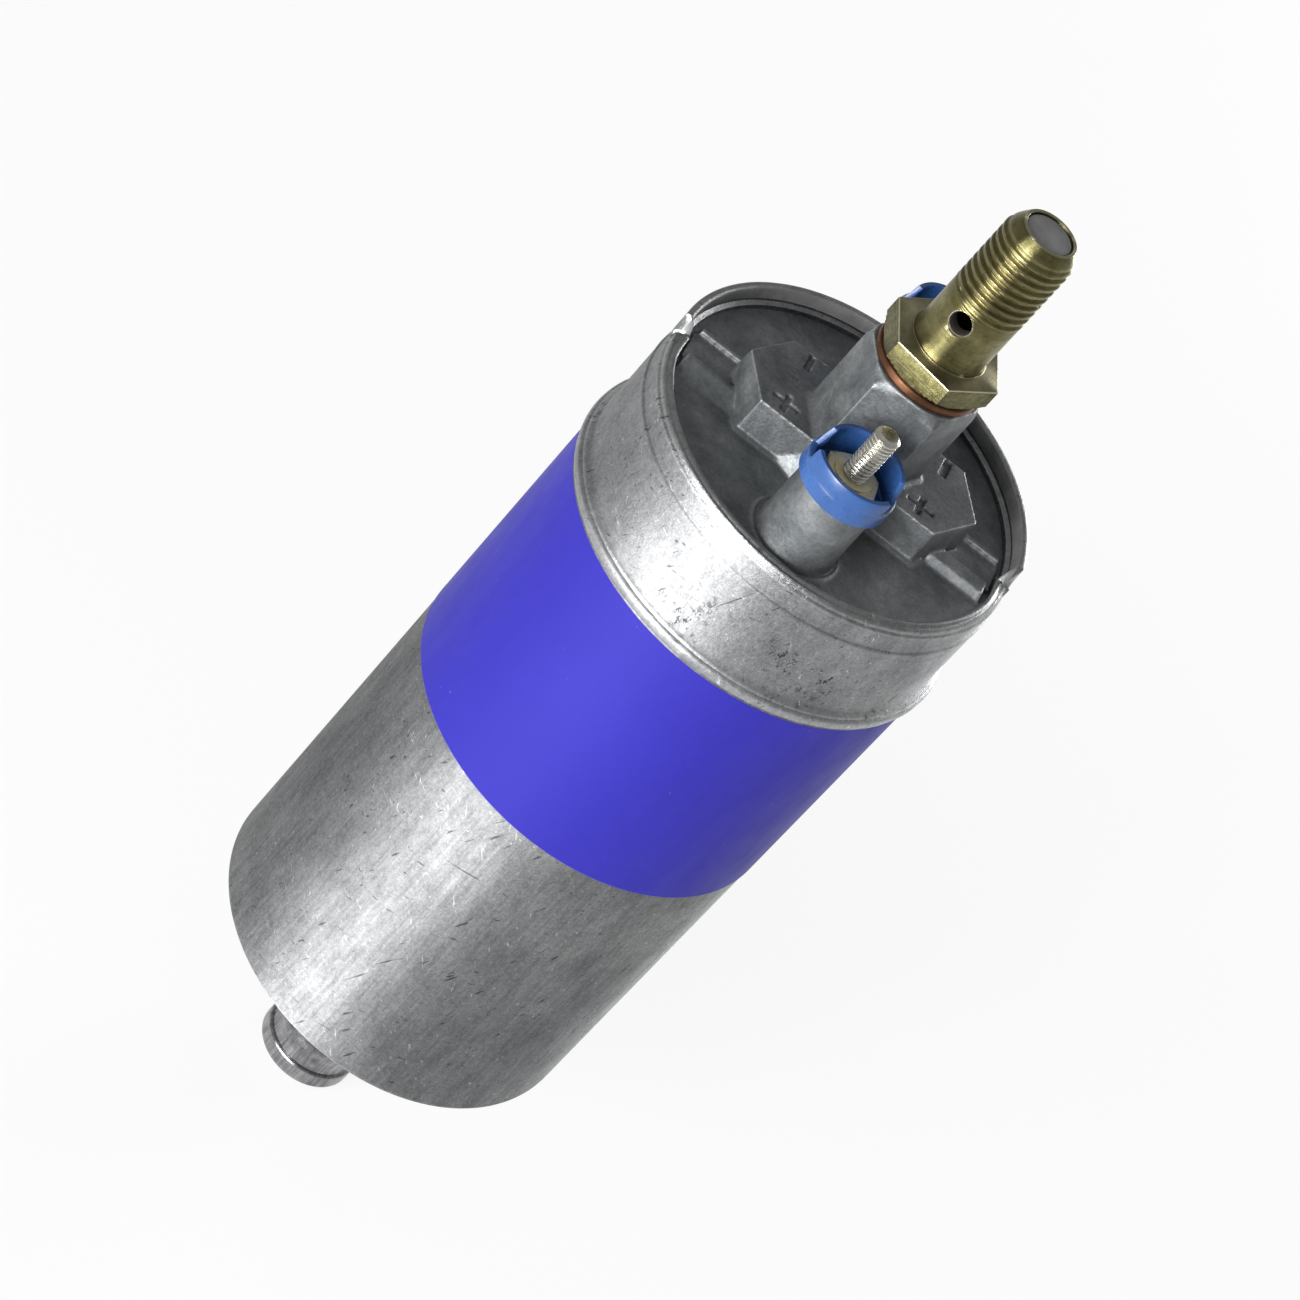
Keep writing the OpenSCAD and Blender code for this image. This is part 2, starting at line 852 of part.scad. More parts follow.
module thrust_washer() {
    color([0.85, 0.84, 0.8]) tube(thrust_radius, shaft_radius + shaft_gap, thrust_bottom, thrust_top);
}

module rear_bushing() {
    color([0.7, 0.55, 0.3])
        tube(bearing_radius, shaft_radius + shaft_gap, bearing_bottom, bearing_top);
}

// Insulating disc under the cover plate with the two brush boxes.
module brush_carrier() {
    color([0.15, 0.15, 0.16])
        difference() {
            union() {
                rod(skirt_inner - fit_gap, carrier_bottom, plate_bottom);
                for (side = [-1, 1]) on_brush(side) block(guide_width, guide_depth, guide_bottom, guide_top);
            }
            rod(hub_radius + fit_gap, carrier_bottom - over, plate_bottom + over);
            for (side = [-1, 1])
                on_brush(side)
                    block(brush_width + 2 * fit_gap, brush_depth + 2 * fit_gap, guide_bottom - over,
                        guide_top - guide_roof);
            on_near_terminal() rod(bush_bore, carrier_bottom - over, plate_bottom + over);
            on_far_terminal() rod(bush_bore, carrier_bottom - over, plate_bottom + over);
        }
}

module brush(side) {
    color([0.25, 0.24, 0.24]) on_brush(side) block(brush_width, brush_depth, brush_bottom, brush_top);
}

module brush_spring(side) {
    color([0.7, 0.7, 0.7])
        on_brush(side) tube(brush_spring_radius, brush_spring_inner, brush_top, guide_top - guide_roof);
}

// Strips that join each stud to its brush box, with a round eye at the stud.
module terminal_straps() {
    color([0.8, 0.65, 0.3])
        for (side = [0, 1])
            rotate([0, 0, side * 180]) {
                difference() {
                    union() {
                        on_near_terminal() rod(strap_eye, strap_bottom, carrier_bottom);
                        rotate([0, 0, terminal_turn])
                            translate([-strap_half_width, -terminal_distance, strap_bottom])
                                cube([2 * strap_half_width, terminal_distance - strap_inner, strap_height]);
                        rotate([0, 0, cover_turn])
                            translate([-strap_half_width, -strap_outer, strap_bottom])
                                cube([brush_offset + 2 * strap_half_width, strap_outer - strap_inner,
                                    strap_height]);
                    }
                    on_near_terminal() rod(bush_bore, strap_bottom - over, carrier_bottom + over);
                }
            }
}

// The raised six-sided platform, as points in plan.
platform_points = [
    [platform_half_length, 0],
    [platform_end_half, platform_half_width],
    [-platform_end_half, platform_half_width],
    [-platform_half_length, 0],
    [-platform_end_half, -platform_half_width],
    [platform_end_half, -platform_half_width]];

boss_points = [
    [boss_corner_long, 0],
    [boss_corner_side, boss_corner_deep],
    [-boss_corner_side, boss_corner_deep],
    [-boss_corner_long, 0],
    [-boss_corner_side, -boss_corner_deep],
    [boss_corner_side, -boss_corner_deep]];

module cover_platform() {
    difference() {
        translate([0, 0, cover_z - skin])
            linear_extrude(height = platform_height + skin) polygon(platform_points);
        top_edge_cut(platform_points, platform_z, edge_cut);
    }
}

// Six-sided boss that turns into a chamfered round seat for the copper ring.
module cover_boss() {
    intersection() {
        translate([0, 0, platform_z - skin])
            linear_extrude(height = boss_height + skin) polygon(boss_points);
        rotate_extrude()
            polygon([[0, platform_z - over],
                [boss_corner_deep + boss_corner_side, platform_z - over],
                [boss_corner_deep + boss_corner_side, boss_z - boss_shoulder
                    - (boss_corner_side + boss_corner_deep - boss_top_radius - boss_shoulder)],
                [boss_top_radius, boss_z],
                [0, boss_z]]);
    }
}

// Post with a spread foot and a small edge at the top.
module cover_post() {
    rotate_extrude()
        polygon(concat(
            [[0, cover_z - skin],
             [post_radius + foot_spread, cover_z - skin],
             [post_radius + foot_spread, cover_z + foot_height / 2]],
            arc(post_radius + foot_height / 2, cover_z + foot_height, foot_height / 2, -90, -180),
            [[post_radius, post_z - fit_gap],
             [post_radius - fit_gap, post_z],
             [0, post_z]]));
}

// Block behind one leaning face of a gusset. The face starts at the foot of the platform's long side.
module gusset_half() {
    translate([-gusset_reach, -platform_half_width, cover_z])
        rotate([0, 0, -gusset_heading])
            rotate([-gusset_lean, 0, 0])
                translate([-can_radius, 0, -can_radius]) cube(2 * can_radius);
}

// Gusset against the platform's long side, with a narrow web on to the post.
module cover_gusset() {
    turn = cover_turn - terminal_turn;
    post_shift = -terminal_distance * sin(turn);
    translate([post_shift, 0, 0])
        intersection() {
            gusset_half();
            mirror([1, 0, 0]) gusset_half();
            translate([-gusset_reach - over, -terminal_distance, cover_z - skin])
                cube([2 * gusset_reach + 2 * over, terminal_distance - boss_corner_side, gusset_height + skin]);
        }
    rotate([0, 0, -turn])
        translate([-web_half_width, -terminal_distance, cover_z - skin])
            cube([2 * web_half_width, terminal_distance - boss_corner_side, gusset_height + skin]);
}

// One low rib along the middle line, from the given distance outwards.
module cover_rib(start, width) {
    translate([rib_start, start, cover_z - skin])
        cube([rib_end - rib_start, width, rib_height + skin]);
}

// Two low ribs at each end of the platform, with a channel between them. One has a slope in front.
module cover_ribs() {
    intersection() {
        union() {
            cover_rib(rib_inner, rib_thin);
            cover_rib(-rib_inner - rib_wide, rib_wide);
            mirror([1, 0, 0]) {
                cover_rib(rib_inner, rib_thin);
                cover_rib(-rib_inner - rib_thin, rib_thin);
                translate([rib_start, -rib_inner - rib_thin, cover_z - skin])
                    rotate([90, 0, 90])
                        linear_extrude(height = rib_end - rib_start)
                            polygon([[-slope_reach, 0], [0, 0], [0, rib_height + skin]]);
            }
            for (side = [0, 1])
                mirror([side, 0, 0])
                    translate([rib_start, -rib_inner - skin, cover_z - skin])
                        cube([rib_end - rib_start, 2 * (rib_inner + skin), channel_height + skin]);
        }
        translate([0, 0, cover_z - skin])
            cylinder(h = 2 * rib_height, r1 = rib_end, r2 = rib_end - rib_slant);
    }
}

// Bosses and pockets that are cut out of the casting.
module cover_cuts() {
    rod(boss_bore, fitting_bottom, boss_z + over);
    rod(bearing_radius, hub_bottom - over, fitting_bottom + over);
    rotate([0, 0, cover_turn]) {
        block(passage_width, 2 * hub_radius + 2 * over, bearing_top + fit_gap, bearing_top + passage_height);
        for (side = [-1, 1])
            translate([side * brush_offset, 0, 0])
                block(guide_width + 2 * fit_gap, guide_depth + 2 * fit_gap, plate_bottom - over,
                    guide_top + side_gap);
    }
    for (side = [0, 1])
        rotate([0, 0, side * 180])
            on_near_terminal() {
                rod(post_bore, plate_bottom - over, post_z + over);
                rod(pocket_radius, post_z - pocket_depth, post_z + over);
            }
}

module end_cover() {
    color([0.5, 0.51, 0.53])
        difference() {
            union() {
                rod(core_radius, plate_bottom, cover_z);
                difference() {
                    tube(core_radius, skirt_inner, skirt_bottom, plate_bottom + skin);
                    tube(core_radius + over, seal_groove_radius, seal_z - seal_groove_half,
                        seal_z + seal_groove_half);
                }
                rod(hub_radius, hub_bottom, plate_bottom + skin);
                rotate([0, 0, cover_turn]) {
                    cover_platform();
                    cover_boss();
                    cover_ribs();
                    for (side = [0, 1])
                        rotate([0, 0, side * 180]) cover_gusset();
                }
                for (side = [0, 1])
                    rotate([0, 0, side * 180]) on_near_terminal() cover_post();
            }
            cover_cuts();
        }
}

module cover_seal_ring() {
    color([0.12, 0.12, 0.13])
        translate([0, 0, seal_z])
            rotate_extrude() translate([seal_centre, 0]) circle(r = seal_thickness_radius, $fn = 48);
}

module on_terminals() {
    on_near_terminal() children();
    on_far_terminal() children();
}

module terminal_bushes() {
    color([0.8, 0.78, 0.7])
        on_terminals() tube(bush_radius, bush_bore, plate_bottom, post_z - pocket_depth - seal_ring_height);
}

module terminal_seals() {
    color([0.12, 0.12, 0.13])
        on_terminals()
            tube(bush_radius, bush_bore, post_z - pocket_depth - seal_ring_height, post_z - pocket_depth);
}

module terminal_stud(radius) {
    rotate_extrude()
        polygon([[0, strap_bottom - stud_head_height],
            [stud_head_radius, strap_bottom - stud_head_height],
            [stud_head_radius, strap_bottom],
            [radius - stud_relief, strap_bottom],
            [radius - stud_relief, nut_top],
            [radius, nut_top],
            [radius, stud_top - stud_chamfer],
            [radius - stud_chamfer, stud_top],
            [0, stud_top]]);
}

module terminal_stud_near() {
    color([0.8, 0.8, 0.78]) on_near_terminal() terminal_stud(near_stud_radius);
}

module terminal_stud_far() {
    color([0.8, 0.8, 0.78]) on_far_terminal() terminal_stud(far_stud_radius);
}

module terminal_washers() {
    color([0.75, 0.66, 0.4]) {
        on_near_terminal() tube(washer_radius, near_stud_radius + fit_gap, washer_z, washer_top);
        on_far_terminal() tube(washer_radius, far_stud_radius + fit_gap, washer_z, washer_top);
    }
}

module stud_nut(flats, bore) {
    low = washer_top;
    difference() {
        intersection() {
            hex_prism(flats, low, low + nut_height);
            translate([0, 0, low])
                cylinder(r1 = flats / 2 + nut_height, r2 = flats / 2 - fit_gap / 2, h = nut_height);
        }
        rod(bore, low - over, low + nut_height + over);
    }
}

module terminal_nuts() {
    color([0.78, 0.66, 0.35]) {
        on_near_terminal() stud_nut(near_nut_flats, near_stud_radius - stud_relief);
        on_far_terminal() stud_nut(far_nut_flats, far_stud_radius - stud_relief);
    }
}

// Insulating cup with a higher narrower back half and two side notches.
module terminal_cup(stud_radius) {
    floor_low = post_z - pocket_depth;
    difference() {
        union() {
            rod(cup_foot_radius, floor_low, post_z + skin);
            rod(cup_radius, post_z, post_z + cup_line_height);
            rod(cup_radius - cup_line_depth, post_z + cup_line_height - skin, post_z + cup_front_height);
            intersection() {
                rod(cup_back_radius, post_z, post_z + cup_back_height);
                translate([-cup_radius, 0, post_z])
                    cube([2 * cup_radius, cup_radius, cup_back_height + over]);
            }
        }
        rod(cup_well_radius, washer_z, post_z + over);
        rod(cup_front_inner, cup_hollow_z, post_z + cup_front_height - skin);
        rod(cup_back_radius - cup_back_wall, cup_hollow_z, post_z + cup_back_height + over);
        translate([-2 * cup_radius, -cup_radius * 2, post_z + cup_front_height - skin])
            cube([4 * cup_radius, 2 * cup_radius, cup_back_height]);
        for (turn = [0, 180])
            rotate([0, 0, turn - cup_notch_half / 2])
                translate([cup_back_radius - 2 * cup_back_wall, 0, post_z + cup_notch_height])
                    cube([3 * cup_back_wall, cup_back_radius * tan(cup_notch_half), cup_back_height]);
        rod(stud_radius + fit_gap, floor_low - over, post_z + over);
    }
}

module terminal_cup_near() {
    color([0.15, 0.38, 0.78]) on_near_terminal() terminal_cup(near_stud_radius);
}

module terminal_cup_far() {
    color([0.15, 0.38, 0.78]) on_far_terminal() terminal_cup(far_stud_radius);
}

module copper_seal_ring() {
    color([0.8, 0.42, 0.22]) tube(copper_radius, boss_bore, boss_z, copper_top);
}

// Head, cross-drilled shank and threaded end of the outlet, without the thread form.
module outlet_fitting() {
    color([0.72, 0.64, 0.3])
        difference() {
            union() {
                rod(seated_radius, fitting_bottom, copper_top + skin);
                rotate([0, 0, hex_turn])
                    intersection() {
                        hex_prism(hex_flats, copper_top, hex_top);
                        rotate_extrude()
                            polygon([[0, copper_top],
                                [hex_chamfer_start, copper_top],
                                [hex_radius + skin, copper_top + hex_chamfer],
                                [hex_radius + skin, hex_top],
                                [0, hex_top]]);
                    }
                rotate_extrude() polygon(shank_profile());
            }
            fitting_bores();
        }
}

// Outline of the shank above the head, with a chamfered tip.
function shank_profile() = [
    [0, hex_top - skin],
    [shank_radius, hex_top - skin],
    [shank_radius, thread_end],
    [tip_radius, outlet_top],
    [0, outlet_top]];

module fitting_bores() {
    rod(valve_bore, fitting_bottom - over, valve_shoulder);
    rod(upper_bore, valve_shoulder - over, plug_bottom + over);
    rod(plug_radius, plug_bottom, outlet_top + over);
    translate([0, 0, cross_z])
        rotate([0, 0, cross_turn])
            rotate([90, 0, 0])
                cylinder(r = cross_hole_radius, h = 2 * shank_radius + 2 * over, center = true, $fn = 48);
}

module check_seat() {
    color([0.2, 0.2, 0.2]) tube(valve_bore, check_seat_hole, fitting_bottom, check_bottom);
}

module check_piston() {
    color([0.75, 0.72, 0.6])
        rotate_extrude()
            polygon([[0, check_bottom],
                [check_seat_hole + fit_gap, check_bottom],
                [check_radius, check_bottom + check_nose],
                [check_radius, check_top],
                [check_stem_radius, check_top],
                [check_stem_radius, check_stem_top],
                [0, check_stem_top]]);
}

module check_spring() {
    color([0.7, 0.7, 0.7]) tube(check_spring_radius, check_spring_inner, check_top, valve_shoulder);
}

module outlet_plug() {
    color([0.6, 0.6, 0.62]) rod(plug_radius, plug_bottom, plug_top);
}

casing();
label_sleeve();
inlet_nipple();
inlet_seal();
inlet_strainer();
intake_plate();
cam_ring();
pressure_plate();
pump_screws();
rotor_pin();
pump_rotor();
pump_roller(0);  // pump_roller_1
pump_roller(1);  // pump_roller_2
pump_roller(2);  // pump_roller_3
pump_roller(3);  // pump_roller_4
pump_roller(4);  // pump_roller_5
relief_seat();
relief_plunger();
relief_spring();
relief_retainer();
drive_coupling();
front_bushing();
flux_ring();
field_magnet(0);  // field_magnet_a
field_magnet(180);  // field_magnet_b
magnet_clips();
armature_shaft();
lamination_stack();
armature_windings();
commutator();
thrust_washer();
rear_bushing();
brush_carrier();
brush(1);  // brush_pos
brush(-1);  // brush_neg
brush_spring(1);  // brush_spring_pos
brush_spring(-1);  // brush_spring_neg
terminal_straps();
end_cover();
cover_seal_ring();
terminal_bushes();
terminal_seals();
terminal_stud_near();
terminal_stud_far();
terminal_washers();
terminal_nuts();
terminal_cup_near();
terminal_cup_far();
copper_seal_ring();
outlet_fitting();
check_seat();
check_piston();
check_spring();
outlet_plug();
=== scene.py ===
import json
import math

import bmesh
import bpy
from mathutils import Matrix, Vector, noise


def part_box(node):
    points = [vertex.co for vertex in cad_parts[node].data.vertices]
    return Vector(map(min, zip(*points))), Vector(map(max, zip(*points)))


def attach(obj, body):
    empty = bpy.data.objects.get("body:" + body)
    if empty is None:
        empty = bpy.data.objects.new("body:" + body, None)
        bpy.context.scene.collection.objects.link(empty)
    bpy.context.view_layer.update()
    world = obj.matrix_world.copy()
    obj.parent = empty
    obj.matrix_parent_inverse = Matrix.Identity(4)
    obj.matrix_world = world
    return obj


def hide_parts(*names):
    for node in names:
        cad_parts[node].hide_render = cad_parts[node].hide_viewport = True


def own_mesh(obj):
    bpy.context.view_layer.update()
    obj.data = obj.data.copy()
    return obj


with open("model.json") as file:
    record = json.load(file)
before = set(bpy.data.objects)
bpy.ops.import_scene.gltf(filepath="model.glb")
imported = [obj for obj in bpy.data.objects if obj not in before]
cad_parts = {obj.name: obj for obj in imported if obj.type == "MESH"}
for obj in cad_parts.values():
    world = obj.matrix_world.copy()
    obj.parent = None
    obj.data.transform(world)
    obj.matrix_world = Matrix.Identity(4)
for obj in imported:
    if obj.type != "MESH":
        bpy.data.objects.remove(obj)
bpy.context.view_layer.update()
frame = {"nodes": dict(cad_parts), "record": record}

MM = 0.001
HOUSING = "housing"
TURN = 360.0

# Main heights and radii in millimetres, as in the part's source.
CAN_R = 31.5
BORE_R = 29.7
BASE_Z = -30.9
BASE_ROUND = 2.1
SPIGOT_HOLE = 10.3
FLOOR_Z = -28.7
LABEL_LOW = 30.0
LABEL_HIGH = 74.1
LABEL_R = 31.66
BEAD_LOW = 74.5
BEAD_HIGH = 77.2
COLLAR_LOW = 74.0
COLLAR_R = 31.1
COLLAR_HIGH = 91.5
CRIMP_R = 30.8
CRIMP_LOW = 94.9
INSIDE_LOW = 96.95
ABOVE = 110.0
COVER_Z = 95.5
COVER_TURN = 8.4
PLATFORM_Z = 102.1
BOSS_Z = 118.0
COPPER_TOP = 119.3
HEX_TOP = 123.5
HEX_TURN = -3.5
HEX_FLAT = 8.5
SHANK_R = 5.88
FOOT_R = 6.2
CROSS_Z = 130.9
CROSS_R = 1.7
CROSS_TURN = -8.0
THREAD_LOW = 133.6
THREAD_HIGH = 146.8
NOSE_LOW = 145.3
OUTLET_TOP = 148.3
PLUG_R = 3.8
POST_R = 6.4
POST_Z = 107.6
TERMINAL_R = 21.1
TERMINAL_TURN = 6.8
STUD_TOP = 119.5
NUT_TOP = 110.0
NIPPLE_END = -60.6


def polar(radius, angle):
    """A point in plan, with the angle in degrees from the camera side towards +X."""
    a = math.radians(angle)
    return radius * math.sin(a), -radius * math.cos(a)


def arc(x, y, radius, start, end, steps):
    points = []
    for i in range(steps + 1):
        a = math.radians(start + (end - start) * i / steps)
        points.append((x + radius * math.cos(a), y + radius * math.sin(a)))
    return points


def smoothstep(t):
    t = min(1.0, max(0.0, t))
    return t * t * (3 - 2 * t)


def turn_between(a, b):
    """The smaller turn between two directions in degrees."""
    return abs((a - b + TURN / 2) % TURN - TURN / 2)


def new_object(name, bm, sharp=32.0):
    """Turns a bmesh in millimetres into an object in metres with smooth shading between sharp edges."""
    bmesh.ops.recalc_face_normals(bm, faces=bm.faces)
    for v in bm.verts:
        v.co *= MM
    mesh = bpy.data.meshes.new(name)
    bm.to_mesh(mesh)
    bm.free()
    for p in mesh.polygons:
        p.use_smooth = True
    mesh.set_sharp_from_angle(angle=math.radians(sharp))
    obj = bpy.data.objects.new(name, mesh)
    bpy.context.scene.collection.objects.link(obj)
    return obj


def grid(bm, rows, closed_rows=False):
    """Skins rows of points round the axis. Each row is a list of points, and rows close on themselves."""
    layers = [[bm.verts.new(p) for p in row] for row in rows]
    count = len(rows[0])
    last = len(layers) if closed_rows else len(layers) - 1
    for j in range(last):
        a = layers[j]
        b = layers[(j + 1) % len(layers)]
        for i in range(count):
            k = (i + 1) % count
            bm.faces.new((a[i], a[k], b[k], b[i]))
    return layers


def capped(bm, rows):
    """Skins rows and closes both ends."""
    layers = grid(bm, rows)
    bm.faces.new(layers[0])
    bm.faces.new(layers[-1])


def rings(profile, segments, centre=(0.0, 0.0)):
    """Circles round Z for a profile of (radius, height)."""
    rows = []
    for radius, z in profile:
        row = []
        for i in range(segments):
            a = 2 * math.pi * i / segments
            row.append((centre[0] + radius * math.cos(a), centre[1] + radius * math.sin(a), z))
        rows.append(row)
    return rows


def revolve(bm, profile, segments=160, centre=(0.0, 0.0), closed=False):
    """Turns a profile round Z. One that isn't closed is capped at both ends."""
    if closed:
        grid(bm, rings(profile, segments, centre), True)
    else:
        capped(bm, rings(profile, segments, centre))


def lathe(name, profile, segments=160, centre=(0.0, 0.0), closed=False):
    bm = bmesh.new()
    revolve(bm, profile, segments, centre, closed)
    return new_object(name, bm)


def prism(bm, points, low, high, turn=0.0, centre=(0.0, 0.0), top_points=None):
    """Upright prism on points in plan, with other points at the top for a draft."""
    a = math.radians(turn)
    layers = []
    for plan, z in ((points, low), (top_points or points, high)):
        ring = []
        for x, y in plan:
            ring.append(bm.verts.new((centre[0] + x * math.cos(a) - y * math.sin(a),
                                      centre[1] + x * math.sin(a) + y * math.cos(a), z)))
        layers.append(ring)
    count = len(points)
    for i in range(count):
        k = (i + 1) % count
        bm.faces.new((layers[0][i], layers[0][k], layers[1][k], layers[1][i]))
    bm.faces.new(layers[0])
    bm.faces.new(layers[1])


def bar(bm, x0, x1, y0, y1, low, high, turn=0.0, centre=(0.0, 0.0)):
    prism(bm, [(x0, y0), (x1, y0), (x1, y1), (x0, y1)], low, high, turn, centre)


def apply_modifiers(piece):
    bpy.context.view_layer.update()
    depsgraph = bpy.context.evaluated_depsgraph_get()
    mesh = bpy.data.meshes.new_from_object(piece.evaluated_get(depsgraph))
    piece.modifiers.clear()
    old = piece.data
    piece.data = mesh
    bpy.data.meshes.remove(old)


def carve(piece, *cutters):
    """Cuts the cutters out of a piece and removes them."""
    for cutter in cutters:
        cut = piece.modifiers.new("cut", "BOOLEAN")
        cut.operation = "DIFFERENCE"
        cut.solver = "EXACT"
        cut.use_self = True
        cut.object = cutter
    apply_modifiers(piece)
    for cutter in cutters:
        bpy.data.objects.remove(cutter)


def grow(points, amount):
    """Moves the sides of a convex outline outwards."""
    count = len(points)
    lines = []
    for i in range(count):
        a = Vector(points[i])
        b = Vector(points[(i + 1) % count])
        d = (b - a).normalized()
        n = Vector((d.y, -d.x))
        if n.dot(a + b) < 0:
            n = -n
        lines.append((a + n * amount, d))
    out = []
    for i in range(count):
        p, d = lines[i - 1]
        q, e = lines[i]
        t = ((q - p).x * e.y - (q - p).y * e.x) / (d.x * e.y - d.y * e.x)
        out.append(tuple(p + d * t))
    return out


# Materials

def grey(value):
    return value, value, value


def material(slot, color, metallic=0.0, roughness=0.5):
    mat = bpy.data.materials.new(slot + "_mat")
    mat.use_nodes = True
    nt = mat.node_tree
    shader = nt.nodes["Principled BSDF"]
    shader.inputs["Base Color"].default_value = (*color, 1.0)
    shader.inputs["Metallic"].default_value = metallic
    shader.inputs["Roughness"].default_value = roughness
    return mat, nt, shader


def wire_up(mat, color, rough, grain, depth):
    """Links the colour, the roughness and a bump some millimetres deep to the material's shader."""
    nt = mat.node_tree
    shader = nt.nodes["Principled BSDF"]
    nt.links.new(color, shader.inputs["Base Color"])
    nt.links.new(rough, shader.inputs["Roughness"])
    node = nt.nodes.new("ShaderNodeBump")
    node.inputs["Distance"].default_value = depth * MM
    node.inputs["Strength"].default_value = 1.0
    nt.links.new(grain, node.inputs["Height"])
    nt.links.new(node.outputs["Normal"], shader.inputs["Normal"])
    return mat


def coordinates(nt, stretch=(1.0, 1.0, 1.0), turn=(0.0, 0.0, 0.0)):
    """Object coordinates in millimetres, turned by degrees and then stretched."""
    tex = nt.nodes.new("ShaderNodeTexCoord")
    mapping = nt.nodes.new("ShaderNodeMapping")
    mapping.vector_type = "TEXTURE"
    mapping.inputs["Scale"].default_value = tuple(MM / s for s in stretch)
    mapping.inputs["Rotation"].default_value = tuple(math.radians(t) for t in turn)
    nt.links.new(tex.outputs["Object"], mapping.inputs["Vector"])
    return mapping.outputs["Vector"]


def noise_value(nt, scale, detail, rough, stretch=(1.0, 1.0, 1.0), turn=(0.0, 0.0, 0.0), distort=0.0):
    tex = nt.nodes.new("ShaderNodeTexNoise")
    tex.inputs["Scale"].default_value = scale
    tex.inputs["Detail"].default_value = detail
    tex.inputs["Roughness"].default_value = rough
    tex.inputs["Distortion"].default_value = distort
    nt.links.new(coordinates(nt, stretch, turn), tex.inputs["Vector"])
    return tex.outputs["Fac"]


def ramp(nt, value, stops):
    """Maps a value through (position, grey or colour) stops."""
    node = nt.nodes.new("ShaderNodeValToRGB")
    elements = node.color_ramp.elements
    while len(elements) < len(stops):
        elements.new(0.5)
    for element, (position, color) in zip(elements, stops):
        element.position = position
        element.color = (*(color if isinstance(color, tuple) else grey(color)), 1.0)
    nt.links.new(value, node.inputs["Fac"])
    return node.outputs["Color"]


def cloud(nt, scale, detail, rough, stops, *place, **extra):
    """Noise mapped through stops."""
    return ramp(nt, noise_value(nt, scale, detail, rough, *place, **extra), stops)


def plug(nt, value, socket):
    """Sets a socket to a number or a colour, or links an output to it."""
    if isinstance(value, (int, float)):
        socket.default_value = value
    elif isinstance(value, tuple):
        socket.default_value = (*value, 1.0)
    else:
        nt.links.new(value, socket)


def calc(nt, kind, a, b):
    node = nt.nodes.new("ShaderNodeMath")
    node.operation = kind
    plug(nt, a, node.inputs[0])
    plug(nt, b, node.inputs[1])
    return node.outputs[0]


def times(nt, a, b):
    return calc(nt, "MULTIPLY", a, b)


def less(nt, whole, value):
    return calc(nt, "SUBTRACT", whole, value)


def mix(nt, kind, factor, a, b):
    node = nt.nodes.new("ShaderNodeMix")
    node.data_type = "RGBA"
    node.blend_type = kind
    for value, socket in ((factor, node.inputs["Factor"]), (a, node.inputs[6]), (b, node.inputs[7])):
        plug(nt, value, socket)
    return node.outputs[2]


def shade(nt, color, by, share=1.0):
    """A colour multiplied by another."""
    return mix(nt, "MULTIPLY", share, color, by)


def lay(nt, color, over, share):
    """A colour with another laid over it."""
    return mix(nt, "MIX", share, color, over)


def line_distance(nt, across, offset, turn=(0.0, 0.0, 0.0)):
    """Distance from a line, from the two coordinates across it and its offset."""
    place = nt.nodes.new("ShaderNodeVectorMath")
    place.operation = "MULTIPLY_ADD"
    nt.links.new(coordinates(nt, turn=turn), place.inputs[0])
    place.inputs[1].default_value = across
    place.inputs[2].default_value = offset
    length = nt.nodes.new("ShaderNodeVectorMath")
    length.operation = "LENGTH"
    nt.links.new(place.outputs[0], length.inputs[0])
    return length.outputs["Value"]


def axis_distance(nt, x, y):
    """Distance from an upright axis."""
    return line_distance(nt, (1.0, 1.0, 0.0), (-x, -y, 0.0))


def fade(nt, value, start, end):
    """1 at start and beyond it, 0 at end."""
    node = nt.nodes.new("ShaderNodeMapRange")
    node.inputs["From Min"].default_value = end
    node.inputs["From Max"].default_value = start
    nt.links.new(value, node.inputs["Value"])
    return node.outputs[0]


def height_mask(nt, low, high, soft):
    """1 between two heights along the pump, fading over soft millimetres."""
    sep = nt.nodes.new("ShaderNodeSeparateXYZ")
    nt.links.new(coordinates(nt), sep.inputs[0])
    z = sep.outputs["Z"]
    return times(nt, fade(nt, z, low + soft, low - soft), fade(nt, z, high - soft, high + soft))


def pointiness(nt, stops):
    geo = nt.nodes.new("ShaderNodeNewGeometry")
    return ramp(nt, geo.outputs["Pointiness"], stops)


def round_grain(nt, shader, amount):
    """Stretches the highlight along the pump, as fine turning marks round it do."""
    tangent = nt.nodes.new("ShaderNodeTangent")
    tangent.direction_type = "RADIAL"
    tangent.axis = "Z"
    nt.links.new(tangent.outputs[0], shader.inputs["Tangent"])
    shader.inputs["Anisotropic"].default_value = amount
    shader.inputs["Anisotropic Rotation"].default_value = 0.25


def radius_mask(nt, edge, soft):
    """1 inside a distance from the pump's axis."""
    return fade(nt, axis_distance(nt, 0.0, 0.0), edge - soft, edge + soft)


# Scratches on the can: turn in degrees, stretch, the noise at which they start, tone.
SCRATCHES = [
    ((0, 24, 0), (1.6, 1.6, 0.14), 0.7, 0.4),
    ((0, -35, 0), (2.0, 2.0, 0.16), 0.705, 1.8),
    ((0, 75, 0), (1.7, 1.7, 0.12), 0.7, 0.45),
    ((30, 100, 0), (2.2, 2.2, 0.2), 0.705, 1.7)]


